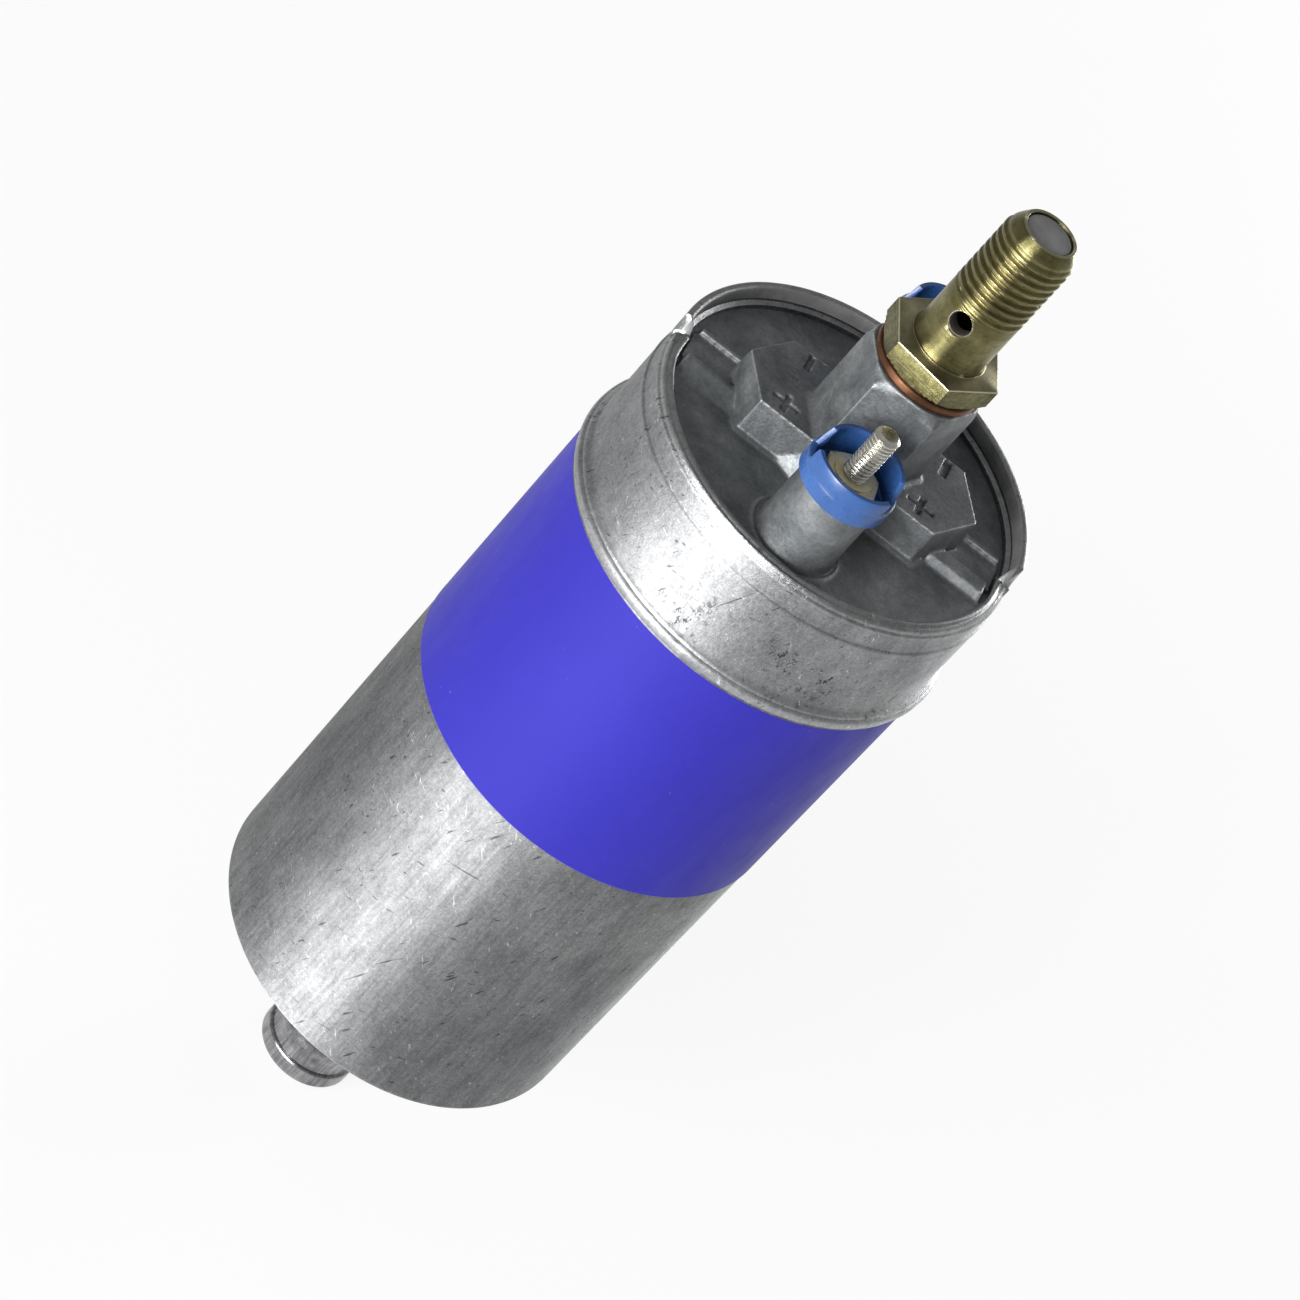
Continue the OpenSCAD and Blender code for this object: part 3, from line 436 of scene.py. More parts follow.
def can_aluminium():
    """Drawn aluminium with streaks along the can, dull patches, fine scratches, pitting and painted shade
    where the bead rises from the label.
    """
    mat, nt, shader = material("can_aluminium", (0.4, 0.4, 0.41), 1.0, 0.6)
    collar = height_mask(nt, COLLAR_LOW, ABOVE, 1.0)
    crimp = height_mask(nt, CRIMP_LOW, ABOVE, 0.25)
    bead = height_mask(nt, BEAD_LOW, BEAD_HIGH, 0.15)
    inside = times(nt, radius_mask(nt, BORE_R + 0.2, 0.08), height_mask(nt, INSIDE_LOW, ABOVE, 0.1))
    outside = times(nt, crimp, less(nt, 1.0, inside))
    tones = [(0.32, (0.28, 0.285, 0.29)), (0.5, (0.35, 0.355, 0.36)), (0.68, (0.42, 0.425, 0.43))]
    color = cloud(nt, 0.045, 5.0, 0.62, tones, (1, 1, 0.6), distort=0.6)
    mottle = cloud(nt, 0.35, 6.0, 0.7, [(0.3, 0.8), (0.5, 1.0), (0.75, 1.14)], (1, 1, 0.5))
    speckle = cloud(nt, 1.4, 6.0, 0.75, [(0.32, 0.72), (0.5, 1.0), (0.72, 1.3)], (1, 1, 0.8), distort=0.5)
    sparkle = cloud(nt, 3.0, 2.0, 0.8, [(0.35, 0.7), (0.5, 1.0), (0.66, 1.4)])
    streaks = cloud(nt, 1.6, 4.0, 0.7, [(0.3, 0.78), (0.55, 1.0), (0.75, 1.18)], (1, 1, 0.035))
    turned = cloud(nt, 1.0, 2.0, 0.5, [(0.3, 0.86), (0.7, 1.1)], (0.04, 0.04, 3.2))
    for layer, share in ((mottle, 1.0), (speckle, 0.75), (sparkle, 0.4),
                         (streaks, less(nt, 0.9, times(nt, collar, 0.8))), (turned, times(nt, collar, 0.35))):
        color = shade(nt, color, layer, share)
    for turn, stretch, low, tone in SCRATCHES:
        marks = cloud(nt, 0.9, 2.0, 0.5, [(low, 0.0), (low + 0.03, 1.0)], stretch, turn)
        color = shade(nt, color, grey(tone), marks)
    color = lay(nt, color, shade(nt, color, grey(1.12)), collar)
    pits = cloud(nt, 0.75, 4.0, 0.8, [(0.565, 0.0), (0.62, 1.0)], (1, 1, 0.6))
    zone = times(nt, height_mask(nt, 76.5, 86.0, 1.5), cloud(nt, 0.06, 2.0, 0.5, [(0.5, 0.0), (0.58, 1.0)]))
    color = lay(nt, color, (0.09, 0.095, 0.1), times(nt, pits, zone))
    # Painted shade: a patchy dark band on the foot of the bead, where it rises from the label.
    groove_shade_patches = cloud(nt, 0.8, 4.0, 0.8, [(0.4, 0.2), (0.6, 0.85)])
    color = lay(nt, color, (0.16, 0.165, 0.17), times(nt, height_mask(nt, COLLAR_LOW, 74.7, 0.15), groove_shade_patches))
    dull = cloud(nt, 0.25, 5.0, 0.7, [(0.3, 0.17), (0.7, (0.28, 0.28, 0.275))], (1, 1, 0.6))
    color = shade(nt, lay(nt, color, dull, inside), grey(0.72), outside)
    nt.links.new(less(nt, 1.0, times(nt, inside, 0.45)), shader.inputs["Metallic"])
    rough = cloud(nt, 0.2, 5.0, 0.7, [(0.3, 0.58), (0.7, 0.72)], (1, 1, 0.4))
    rough = lay(nt, rough, shade(nt, rough, grey(0.88)), collar)
    rough = lay(nt, lay(nt, rough, grey(0.3), outside), grey(0.44), bead)
    round_grain(nt, shader, 0.85)
    even = calc(nt, "MAXIMUM", crimp, times(nt, bead, 0.25))
    nt.links.new(times(nt, less(nt, 1.0, even), 0.85), shader.inputs["Anisotropic"])
    drawn = times(nt, noise_value(nt, 2.5, 3.0, 0.6, (1, 1, 0.05)), less(nt, 0.4, times(nt, collar, 0.36)))
    pebbles = times(nt, noise_value(nt, 1.3, 6.0, 0.75, (1, 1, 0.7), distort=0.8),
                    calc(nt, "ADD", 0.6, times(nt, collar, 0.7)))
    return wire_up(mat, color, rough, calc(nt, "ADD", drawn, pebbles), 0.05)


def die_cast():
    """Grey pressure-cast alloy, dull and blotchy, with worn light edges and painted shade in its hollows and
    round the feet of the posts.
    """
    mat, nt, shader = material("die_cast", (0.3, 0.3, 0.31), 0.75, 0.5)
    tones = [(0.3, (0.10, 0.11, 0.115)), (0.52, (0.17, 0.18, 0.185)), (0.75, (0.27, 0.28, 0.285))]
    color = cloud(nt, 0.16, 6.0, 0.7, tones, distort=0.4)
    color = shade(nt, color, cloud(nt, 1.8, 5.0, 0.7, [(0.3, 0.8), (0.7, 1.2)]))
    # Painted shade: darker in the hollows, found by their pointiness.
    hollow_shade = times(nt, pointiness(nt, [(0.42, 1.0), (0.49, 0.0)]), 0.7)
    color = lay(nt, color, (0.03, 0.032, 0.032), hollow_shade)
    worn = pointiness(nt, [(0.52, 0.0), (0.58, 1.0)])
    for side in (1, -1):
        away = axis_distance(nt, *polar(side * TERMINAL_R, TERMINAL_TURN))
        worn = times(nt, worn, less(nt, 1.0, fade(nt, away, POST_R + 0.2, POST_R + 0.3)))
        # Painted shade: darker round the foot of each post, at the height of the cover's floor.
        post_foot_shade = times(nt, fade(nt, away, POST_R + 0.75, POST_R + 0.95),
                     height_mask(nt, COVER_Z - 1, COVER_Z + 1, 0.6))
        color = lay(nt, color, (0.05, 0.053, 0.053), times(nt, post_foot_shade, 0.6))
    wear = cloud(nt, 0.5, 4.0, 0.7, [(0.35, 0.2), (0.65, 1.0)])
    color = lay(nt, color, (0.66, 0.67, 0.67), times(nt, worn, wear))
    rough = cloud(nt, 0.6, 4.0, 0.6, [(0.3, 0.4), (0.7, 0.6)])
    return wire_up(mat, color, rough, noise_value(nt, 2.2, 4.0, 0.65), 0.06)


def yellow_zinc():
    """Yellow chromated zinc on turned steel: olive and gold with fine turning lines, painted highlights on
    edges, crests and the rim of the cross hole, and painted shade inside the hole.
    """
    mat, nt, shader = material("yellow_zinc", (0.5, 0.42, 0.14), 1.0, 0.26)
    tones = [(0.3, (0.105, 0.092, 0.045)), (0.5, (0.17, 0.155, 0.068)), (0.7, (0.25, 0.23, 0.11))]
    color = cloud(nt, 0.14, 4.0, 0.6, tones, distort=0.5)
    lines = cloud(nt, 1.0, 2.0, 0.5, [(0.3, 0.86), (0.7, 1.12)], (0.05, 0.05, 6.0))
    grime = cloud(nt, 0.9, 5.0, 0.75, [(0.3, 0.5), (0.5, 1.0), (0.7, 1.25)])
    color = shade(nt, shade(nt, color, lines), grime, 0.7)
    hollow = pointiness(nt, [(0.44, 1.0), (0.5, 0.0)])
    color = lay(nt, color, (0.15, 0.085, 0.025), times(nt, hollow, 0.6))
    head = height_mask(nt, COPPER_TOP, HEX_TOP, 0.05)
    mottle = cloud(nt, 1.5, 6.0, 0.75, [(0.32, 0.45), (0.5, 0.8), (0.68, 1.15)])
    color = shade(nt, color, mottle, head)
    # Painted highlight: lighter on the edges and crests of the shank and its thread, and on a band round the
    # top of the hex.
    edges = times(nt, pointiness(nt, [(0.53, 0.0), (0.6, 1.0)]), less(nt, 1.0, head))
    bevel = height_mask(nt, HEX_TOP - 0.2, HEX_TOP - 0.03, 0.015)
    color = lay(nt, color, (0.75, 0.70, 0.5), times(nt, calc(nt, "MAXIMUM", edges, bevel), 0.7))
    # Painted highlight round the rim of the cross hole. The masks run along the whole line of the hole, so
    # the far side of the shank, which has no hole, gets them too.
    away = line_distance(nt, (1.0, 0.0, 1.0), (0.0, 0.0, -CROSS_Z), (0, 0, CROSS_TURN))
    hole_rim_highlight = times(nt, fade(nt, away, CROSS_R + 0.22, CROSS_R + 0.3), radius_mask(nt, SHANK_R + 0.01, 0.01))
    color = lay(nt, color, (0.85, 0.82, 0.7), times(nt, hole_rim_highlight, 0.8))
    # Painted shade: dark inside the cross hole, where the finish is also less metallic.
    deep = times(nt, fade(nt, away, CROSS_R + 0.1, CROSS_R + 0.16), radius_mask(nt, SHANK_R, 0.02))
    color = lay(nt, color, (0.055, 0.042, 0.036), deep)
    nt.links.new(less(nt, 1.0, times(nt, deep, 0.7)), shader.inputs["Metallic"])
    rough = cloud(nt, 0.7, 4.0, 0.6, [(0.3, 0.27), (0.7, 0.38)])
    round_grain(nt, shader, 0.85)
    return wire_up(mat, color, rough, noise_value(nt, 1.0, 2.0, 0.5, (0.05, 0.05, 7.0)), 0.03)


def turned_metal(slot, dark, light, rough_low, rough_high, lines=8.0, grain=0.0, hollows=0.0, scuffs=0.0):
    """Turned bare metal with rings from the tool, whose highlight the grain stretches along the pump."""
    mat, nt, shader = material(slot, light, 1.0, rough_low)
    color = cloud(nt, 0.3, 5.0, 0.65, [(0.3, dark), (0.7, light)])
    color = shade(nt, color, cloud(nt, 1.0, 2.0, 0.5, [(0.3, 0.82), (0.7, 1.1)], (0.04, 0.04, lines)))
    if hollows:
        # Painted shade: darker in the hollows, found by their pointiness.
        hollow_shade = times(nt, pointiness(nt, [(0.42, 1.0), (0.5, 0.0)]), hollows)
        color = lay(nt, color, (0.08, 0.065, 0.04), hollow_shade)
    if scuffs:
        stops = [(0.36, 1 - scuffs), (0.64, 1 + scuffs)]
        color = shade(nt, color, cloud(nt, 1.5, 3.0, 0.7, stops, (1, 1, 0.04)))
    rough = cloud(nt, 0.9, 4.0, 0.6, [(0.3, rough_low), (0.7, rough_high)])
    if grain:
        round_grain(nt, shader, grain)
    return wire_up(mat, color, rough, noise_value(nt, 1.0, 2.0, 0.5, (0.04, 0.04, lines)), 0.025)


def plain_metal(slot, dark, light, rough_low=0.35, rough_high=0.55, metallic=1.0):
    mat, nt, shader = material(slot, light, metallic, rough_low)
    color = cloud(nt, 0.5, 5.0, 0.65, [(0.3, dark), (0.7, light)])
    rough = cloud(nt, 1.2, 4.0, 0.6, [(0.3, rough_low), (0.7, rough_high)])
    return wire_up(mat, color, rough, noise_value(nt, 2.0, 4.0, 0.6), 0.03)


def plain_matter(slot, dark, light, rough_low=0.45, rough_high=0.65, grain=1.5):
    """Plastic, rubber, carbon or ferrite with a mottled tone and a fine grain."""
    mat, nt, shader = material(slot, light, 0.0, rough_low)
    color = cloud(nt, 0.4, 4.0, 0.6, [(0.3, dark), (0.7, light)])
    rough = cloud(nt, 1.0, 4.0, 0.6, [(0.3, rough_low), (0.7, rough_high)])
    return wire_up(mat, color, rough, noise_value(nt, grain, 4.0, 0.6), 0.03)


def label_blue():
    """Violet-blue satin film with faint clouding, a few pale specks and a painted highlight along its two
    edges.
    """
    mat, nt, shader = material("label_blue", (0.06, 0.05, 0.62), 0.2, 0.42)
    shader.inputs["Specular IOR Level"].default_value = 0.3
    round_grain(nt, shader, 0.4)
    tones = [(0.35, (0.019, 0.015, 0.27)), (0.65, (0.022, 0.018, 0.30))]
    color = cloud(nt, 0.03, 3.0, 0.5, tones, (1, 1, 0.5))
    color = shade(nt, color, cloud(nt, 1.4, 3.0, 0.6, [(0.3, 0.95), (0.7, 1.05)], (1, 1, 0.6)))
    specks = cloud(nt, 1.3, 2.0, 0.5, [(0.79, 0.0), (0.81, 0.7)])
    color = lay(nt, color, (0.35, 0.35, 0.55), specks)
    # Painted highlight: a lighter band along the top and bottom edges of the film.
    rim = less(nt, 1.0, height_mask(nt, LABEL_LOW + 0.12, LABEL_HIGH - 0.12, 0.06))
    color = lay(nt, color, (0.16, 0.165, 0.42), times(nt, rim, 0.5))
    rough = cloud(nt, 0.3, 4.0, 0.6, [(0.3, 0.5), (0.7, 0.6)], (1, 1, 0.4))
    return wire_up(mat, color, rough, noise_value(nt, 0.7, 3.0, 0.6, (1, 1, 0.3)), 0.02)


def blue_plastic():
    mat, nt, shader = material("blue_plastic", (0.03, 0.16, 0.62), 0.0, 0.3)
    shader.inputs["Subsurface Weight"].default_value = 0.15
    shader.inputs["Subsurface Radius"].default_value = (0.2, 0.6, 1.0)
    shader.inputs["Subsurface Scale"].default_value = 0.6 * MM
    color = cloud(nt, 0.25, 3.0, 0.5, [(0.3, (0.017, 0.062, 0.20)), (0.7, (0.025, 0.082, 0.255))])
    rough = cloud(nt, 0.8, 3.0, 0.5, [(0.3, 0.24), (0.7, 0.38)])
    return wire_up(mat, color, rough, noise_value(nt, 0.9, 3.0, 0.5), 0.02)


# Dark and light tone, lowest and highest roughness, lines, grain, painted shade in hollows, scuffs.
TURNED = {
    "turned_steel": ((0.18, 0.18, 0.185), (0.36, 0.36, 0.37), 0.22, 0.32, 5.0, 0.5, 0.0, 0.35),
    "stud_steel": ((0.55, 0.53, 0.46), (0.78, 0.77, 0.72), 0.2, 0.32, 3.0, 0.0, 0.9),
    "copper": ((0.10, 0.045, 0.026), (0.19, 0.095, 0.052), 0.42, 0.54, 3.0, 0.7),
    "steel": ((0.36, 0.37, 0.39), (0.54, 0.55, 0.57), 0.24, 0.38),
    "inner_aluminium": ((0.48, 0.48, 0.50), (0.66, 0.66, 0.68), 0.3, 0.45),
    "winding_copper": ((0.36, 0.13, 0.05), (0.58, 0.26, 0.11), 0.28, 0.42, 2.2),
}
# Dark and light tone, lowest and highest roughness, metallic share.
PLAIN_METALS = {
    "brass": ((0.62, 0.56, 0.34), (0.86, 0.80, 0.56), 0.26, 0.4, 0.6),
    "strainer_mesh": ((0.40, 0.38, 0.32), (0.58, 0.56, 0.48)),
    "bearing_bronze": ((0.34, 0.23, 0.11), (0.52, 0.37, 0.20), 0.4, 0.6),
}
# Dark and light tone, lowest and highest roughness, grain.
PLAIN_MATTERS = {
    "rubber": ((0.02, 0.02, 0.02), (0.045, 0.045, 0.045), 0.55, 0.75),
    "pale_plastic": ((0.58, 0.55, 0.46), (0.72, 0.69, 0.60)),
    "ferrite": ((0.05, 0.05, 0.055), (0.11, 0.11, 0.115), 0.5, 0.75, 2.5),
    "black_plastic": ((0.02, 0.02, 0.022), (0.05, 0.05, 0.052)),
    "carbon": ((0.035, 0.035, 0.035), (0.08, 0.08, 0.08), 0.5, 0.8, 3.0),
    "grey_plug": ((0.17, 0.17, 0.172), (0.25, 0.25, 0.25), 0.45, 0.65, 1.2),
}
MATERIALS = {
    "can_aluminium": can_aluminium(),
    "label_blue": label_blue(),
    "die_cast": die_cast(),
    "yellow_zinc": yellow_zinc(),
    "blue_plastic": blue_plastic(),
}
for build, looks in ((turned_metal, TURNED), (plain_metal, PLAIN_METALS), (plain_matter, PLAIN_MATTERS)):
    for slot, look in looks.items():
        MATERIALS[slot] = build(slot, *look)


def dress(piece, slot, *nodes):
    """Gives a piece its material and its body, and hides the solids of the nodes that it stands for."""
    piece.data.materials.clear()
    piece.data.materials.append(MATERIALS[slot])
    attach(piece, HOUSING)
    if nodes:
        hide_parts(*nodes)
    return piece


# The can

NEAR_RIM = [
    (30.86, 93.50), (30.84, 94.40), (30.90, 94.72), (30.82, 95.02), (30.60, 95.24), (30.52, 95.50),
    (30.44, 95.88), (30.20, 96.16), (29.90, 96.18), (29.80, 96.24), (29.68, 96.50), (29.42, 96.64),
    (29.14, 96.62), (28.97, 96.50), (28.90, 96.20), (28.90, 95.55)]
FAR_RIM = [
    (30.92, 93.50), (31.00, 95.50), (31.00, 98.00), (31.00, 98.90), (30.92, 99.15), (30.68, 99.28),
    (30.30, 99.30), (29.95, 99.26), (29.74, 99.06), (29.70, 98.70), (29.60, 98.30), (29.68, 97.60),
    (29.64, 96.60), (29.30, 96.42), (28.94, 96.26), (28.90, 95.55)]
RIM_LEFT = -82.0
RIM_RIGHT = 98.0
LEFT_REACH = 2.4
RIGHT_REACH = 6.0
FOLD_RISE = 0.4
FOLD_CURL = 0.9
LIP_BULGE = 0.55
LIP_R = 30.6
LIP_WIDTH = 1.7
LIP_START = 95.6
FOLD_START = 96.4
FOLDS = (RIM_RIGHT + 3, RIM_LEFT - 1)
FOLD_REACH = 6
FINE_STEP = 0.3
COARSE_STEP = 1.2
DENT = 0.05
BEAD_INNER = 31.6
BEAD_TOP = 76.6
CRIMP_INNER = 28.5
CRIMP_START = 92.0

# The bead between the label and the collar.
BEAD = [
    (32.0, LABEL_HIGH), (32.12, 74.2), (32.1, 74.5), (32.3, 74.72), (32.46, 75.2), (32.5, 75.6),
    (32.46, 76.0), (32.3, 76.3), (32.05, 76.42), (31.94, 76.48), (31.93, 76.62), (31.86, 76.8),
    (31.66, 77.02), (31.4, 77.2), (31.2, 77.5), (31.12, 77.9)]


def rim_share(angle):
    """0 where the rim is rolled in, 1 where it stands, for an angle from the camera side."""
    a = (angle - RIM_RIGHT) % TURN
    span = (RIM_LEFT - RIM_RIGHT) % TURN
    if a >= span:
        return 0.0
    right = min(1.0, a / RIGHT_REACH)
    left = min(1.0, (span - a) / LEFT_REACH)
    return min(math.sqrt(1 - (1 - right) ** 2), smoothstep(left))


def fold_nearness(angle, spread):
    """1 where the rolled rim meets an end of the standing rim, falling away along the rolled rim."""
    from_right = (RIM_RIGHT - angle) % TURN
    from_left = (angle - RIM_LEFT) % TURN
    return math.exp(-(min(from_right, from_left) / spread) ** 2)


def rim_angles():
    """Directions round the rim, closer together at its two folds."""
    angles = []
    a = 0.0
    while a < TURN:
        angles.append(a)
        near_fold = min(turn_between(a, fold) for fold in FOLDS) < FOLD_REACH
        a += FINE_STEP if near_fold else COARSE_STEP
    return angles


def can_profile():
    """Outside of the can from its base to its crimp."""
    points = [(SPIGOT_HOLE, BASE_Z), (20.0, BASE_Z - 0.02)]
    points += arc(CAN_R - BASE_ROUND, BASE_Z + BASE_ROUND, BASE_ROUND, -90, 0, 10)
    points += [(CAN_R, -10.0), (CAN_R, 10.0), (CAN_R, LABEL_LOW - 0.05), (CAN_R - 0.2, LABEL_LOW),
               (CAN_R - 0.2, LABEL_HIGH)]
    points += BEAD
    points += [(COLLAR_R, 78.6), (COLLAR_R, 85.0), (COLLAR_R, COLLAR_HIGH - 0.7),
               (COLLAR_R + 0.07, COLLAR_HIGH - 0.35), (COLLAR_R + 0.05, COLLAR_HIGH - 0.15),
               (COLLAR_R - 0.06, COLLAR_HIGH), (CRIMP_R + 0.1, COLLAR_HIGH + 0.12),
               (CRIMP_R + 0.06, COLLAR_HIGH + 0.4)]
    return points


def dented(radius, z, x, y, angle, share):
    """A point of the can with the unevenness of its bead, its crimp and its folded rim."""
    if radius > BEAD_INNER and z < BEAD_TOP:
        radius += DENT * noise.noise(Vector((x * 14, y * 14, z * 0.9)))
    if radius > CRIMP_INNER and z > CRIMP_START:
        radius += DENT * noise.noise(Vector((x * 3, y * 3, z * 0.2)))
        z += 0.06 * share * noise.noise(Vector((x * 4 + 9, y * 4, 0.0)))
    if z > FOLD_START:
        radius -= FOLD_CURL * 4 * share * (1 - share)
    if share < 0.5 and radius < LIP_R and z > LIP_START:
        inward = (LIP_R - radius) / LIP_WIDTH
        z += FOLD_RISE * fold_nearness(angle, 2.2) * (1 - 0.5 * inward)
        radius -= LIP_BULGE * fold_nearness(angle, 7.0) * inward
    return radius * x, radius * y, z


def casing():
    inner = [(BORE_R, COVER_Z), (BORE_R, COLLAR_HIGH), (BORE_R, FLOOR_Z), (SPIGOT_HOLE, FLOOR_Z)]
    columns = []
    for angle in rim_angles():
        share = rim_share(angle)
        rim = []
        for near, far in zip(NEAR_RIM, FAR_RIM):
            rim.append((near[0] + (far[0] - near[0]) * share, near[1] + (far[1] - near[1]) * share))
        x, y = polar(1.0, angle)
        profile = can_profile() + rim + inner
        columns.append([dented(radius, z, x, y, angle, share) for radius, z in profile])
    bm = bmesh.new()
    grid(bm, columns, True)
    return dress(new_object("can_shell", bm, 40.0), "can_aluminium", "casing")


def label():
    profile = [(CAN_R - 0.18, LABEL_LOW), (LABEL_R - 0.06, LABEL_LOW), (LABEL_R, LABEL_LOW + 0.08),
               (LABEL_R, 45.0), (LABEL_R, 60.0), (LABEL_R, LABEL_HIGH - 0.08), (LABEL_R - 0.06, LABEL_HIGH),
               (CAN_R - 0.18, LABEL_HIGH)]
    return dress(lathe("blue_label", profile, 240, closed=True), "label_blue", "label_sleeve")


def nipple():
    low = NIPPLE_END
    profile = [(5.5, low + 0.3), (5.8, low)]
    profile += arc(7.5, low + 0.8, 0.8, -90, 0, 6)
    profile += arc(7.5, low + 2.6, 0.8, 0, 75, 6)
    profile += arc(17.6, low + 4.2, 10.0, 180, 138, 14)
    profile += [(10.45, low + 11.2), (10.5, low + 11.6), (10.5, BASE_Z), (10.0, BASE_Z), (10.0, -27.9),
                (13.0, -27.9), (13.0, -25.9), (5.5, -25.9)]
    return dress(lathe("inlet_spigot", profile, 128, closed=True), "turned_steel", "inlet_nipple")


# The cover casting

PLATFORM = [(20.7, 0.0), (15.75, 8.6), (-15.75, 8.6), (-20.7, 0.0), (-15.75, -8.6), (15.75, -8.6)]
BOSS = [(10.0, 0.0), (5.35, 9.25), (-5.35, 9.25), (-10.0, 0.0), (-5.35, -9.25), (5.35, -9.25)]
VOXEL = 0.22

# Engraved signs on the platform: middle along and across the platform, length and width.
MARKS = [(-12.4, 5.2, 4.6, 1.0), (-12.4, 5.3, 1.0, 4.4), (-12.2, -6.3, 1.05, 3.9),
         (12.1, 5.1, 4.7, 1.0), (12.0, 5.1, 1.0, 4.2), (12.9, -6.2, 1.3, 4.2)]
MARK_DEPTH = 0.55
ROUGH_PATCH = (-13.0, -1.2)
ROUGH_REACH = 2.0
ROUGH_HEIGHT = 0.24
GUSSET_REACH = 9.1
GUSSET_SPREAD = math.tan(math.radians(26.0))
GUSSET_DRAW = math.tan(math.radians(22.3)) / math.sin(math.radians(26.0))
GUSSET_HEIGHT = 5.0
WEB_HALF = 3.2
RIB_INNER = 2.9
RIB_THIN = 0.9
RIB_WIDE = 2.9
RIB_HEIGHT = 1.6
RIB_START = 17.7
RIB_END = 28.0
CASTING_R = 29.35
SEAT_R = 9.4
# The foot of a post, from its radius and from the cover's floor.
POST_FOOT = [(1.1, -1), (1.1, 0.35), (0.85, 0.35), (0.6, 0.15), (0.3, 0.45), (0.1, 1.2), (0.0, 4)]


def gusset_outline(rise):
    """Plan of the gusset at a rise over the cover's floor, out of the platform's long side."""
    reach = GUSSET_REACH - GUSSET_DRAW * rise
    wall = -PLATFORM[1][1]
    tip = wall - reach * GUSSET_SPREAD
    return [(-reach, wall), (0.0, tip), (reach, wall), (reach, wall + 4), (-reach, wall + 4)]


def gussets(bm):
    shift = -TERMINAL_R * math.sin(math.radians(COVER_TURN - TERMINAL_TURN))
    low = COVER_Z - 1
    high = COVER_Z + GUSSET_HEIGHT
    for side in (0.0, 180.0):
        a = math.radians(COVER_TURN + side)
        prism(bm, gusset_outline(-1.0), low, high, COVER_TURN + side,
              (shift * math.cos(a), shift * math.sin(a)), gusset_outline(GUSSET_HEIGHT))
        bar(bm, -WEB_HALF, WEB_HALF, -TERMINAL_R, -5.0, low, high, TERMINAL_TURN + side)


def rib(bm, side, inner, outer, far=RIB_END, slope=0.0):
    """Low rib at one end of the platform between two distances from the middle line."""
    base = [(RIB_START, inner), (far, inner), (far, outer + slope), (RIB_START, outer + slope)]
    top = [(RIB_START, inner), (far - 0.6, inner), (far - 0.6, outer), (RIB_START, outer)]
    prism(bm, [(side * x, -y) for x, y in base], COVER_Z - 0.1, COVER_Z + RIB_HEIGHT, COVER_TURN,
          top_points=[(side * x, -y) for x, y in top])


def ribs(bm):
    rib(bm, 1, RIB_INNER, RIB_INNER + RIB_WIDE, RIB_END - 0.2, 0.7)
    rib(bm, 1, -RIB_INNER - RIB_THIN, -RIB_INNER)
    rib(bm, -1, RIB_INNER, RIB_INNER + RIB_THIN, slope=3.4)
    rib(bm, -1, -RIB_INNER - RIB_THIN - 0.3, -RIB_INNER - 0.3)
    half = RIB_INNER + 0.2
    for x0, x1 in ((RIB_START, RIB_END + 0.1), (-RIB_END - 0.1, -RIB_START)):
        bar(bm, x0, x1, -half, half, COVER_Z - 1, COVER_Z + 0.7, COVER_TURN)


def outline_reach(outline, direction):
    """How far a convex outline round the middle reaches in a direction."""
    reach = math.inf
    for i, corner in enumerate(outline):
        p = Vector(corner)
        q = Vector(outline[(i + 1) % len(outline)])
        n = Vector(((q - p).y, -(q - p).x)).normalized()
        if n.dot(p) < 0:
            n = -n
        if n.dot(direction) > 1e-6:
            reach = min(reach, n.dot(p) / n.dot(direction))
    return reach


def boss_end(bm):
    """The end of the six-sided boss, which runs out into the round seat of the copper ring."""
    steps = 96
    a = math.radians(COVER_TURN)
    outline = [(x * math.cos(a) - y * math.sin(a), x * math.sin(a) + y * math.cos(a)) for x, y in BOSS]
    rows = []
    for z, share in ((115.5, 0.0), (116.4, 0.0), (BOSS_Z, 1.0)):
        row = []
        for i in range(steps):
            t = 2 * math.pi * i / steps
            d = Vector((math.cos(t), math.sin(t)))
            reach = outline_reach(outline, d)
            radius = reach + (min(SEAT_R, reach) - reach) * share
            row.append((d.x * radius, d.y * radius, z))
        rows.append(row)
    capped(bm, rows)


def casting_shapes(bm):
    revolve(bm, [(0.01, 92.0), (CASTING_R, 92.0), (CASTING_R, COVER_Z), (0.01, COVER_Z)])
    prism(bm, grow(PLATFORM, 0.75), COVER_Z - 1, COVER_Z + 0.35, COVER_TURN)
    add_platform(bm)
    prism(bm, BOSS, PLATFORM_Z - 1, 116.0, COVER_TURN)
    prism(bm, grow(BOSS, 0.5), PLATFORM_Z - 1, PLATFORM_Z + 0.28, COVER_TURN)
    boss_end(bm)
    post = [(0.01, COVER_Z - 1)] + [(POST_R + out, COVER_Z + up) for out, up in POST_FOOT]
    post += [(POST_R - 0.05, POST_Z), (0.01, POST_Z)]
    for side in (0.0, 180.0):
        revolve(bm, post, 96, polar(TERMINAL_R, TERMINAL_TURN + side))
    gussets(bm)
    ribs(bm)


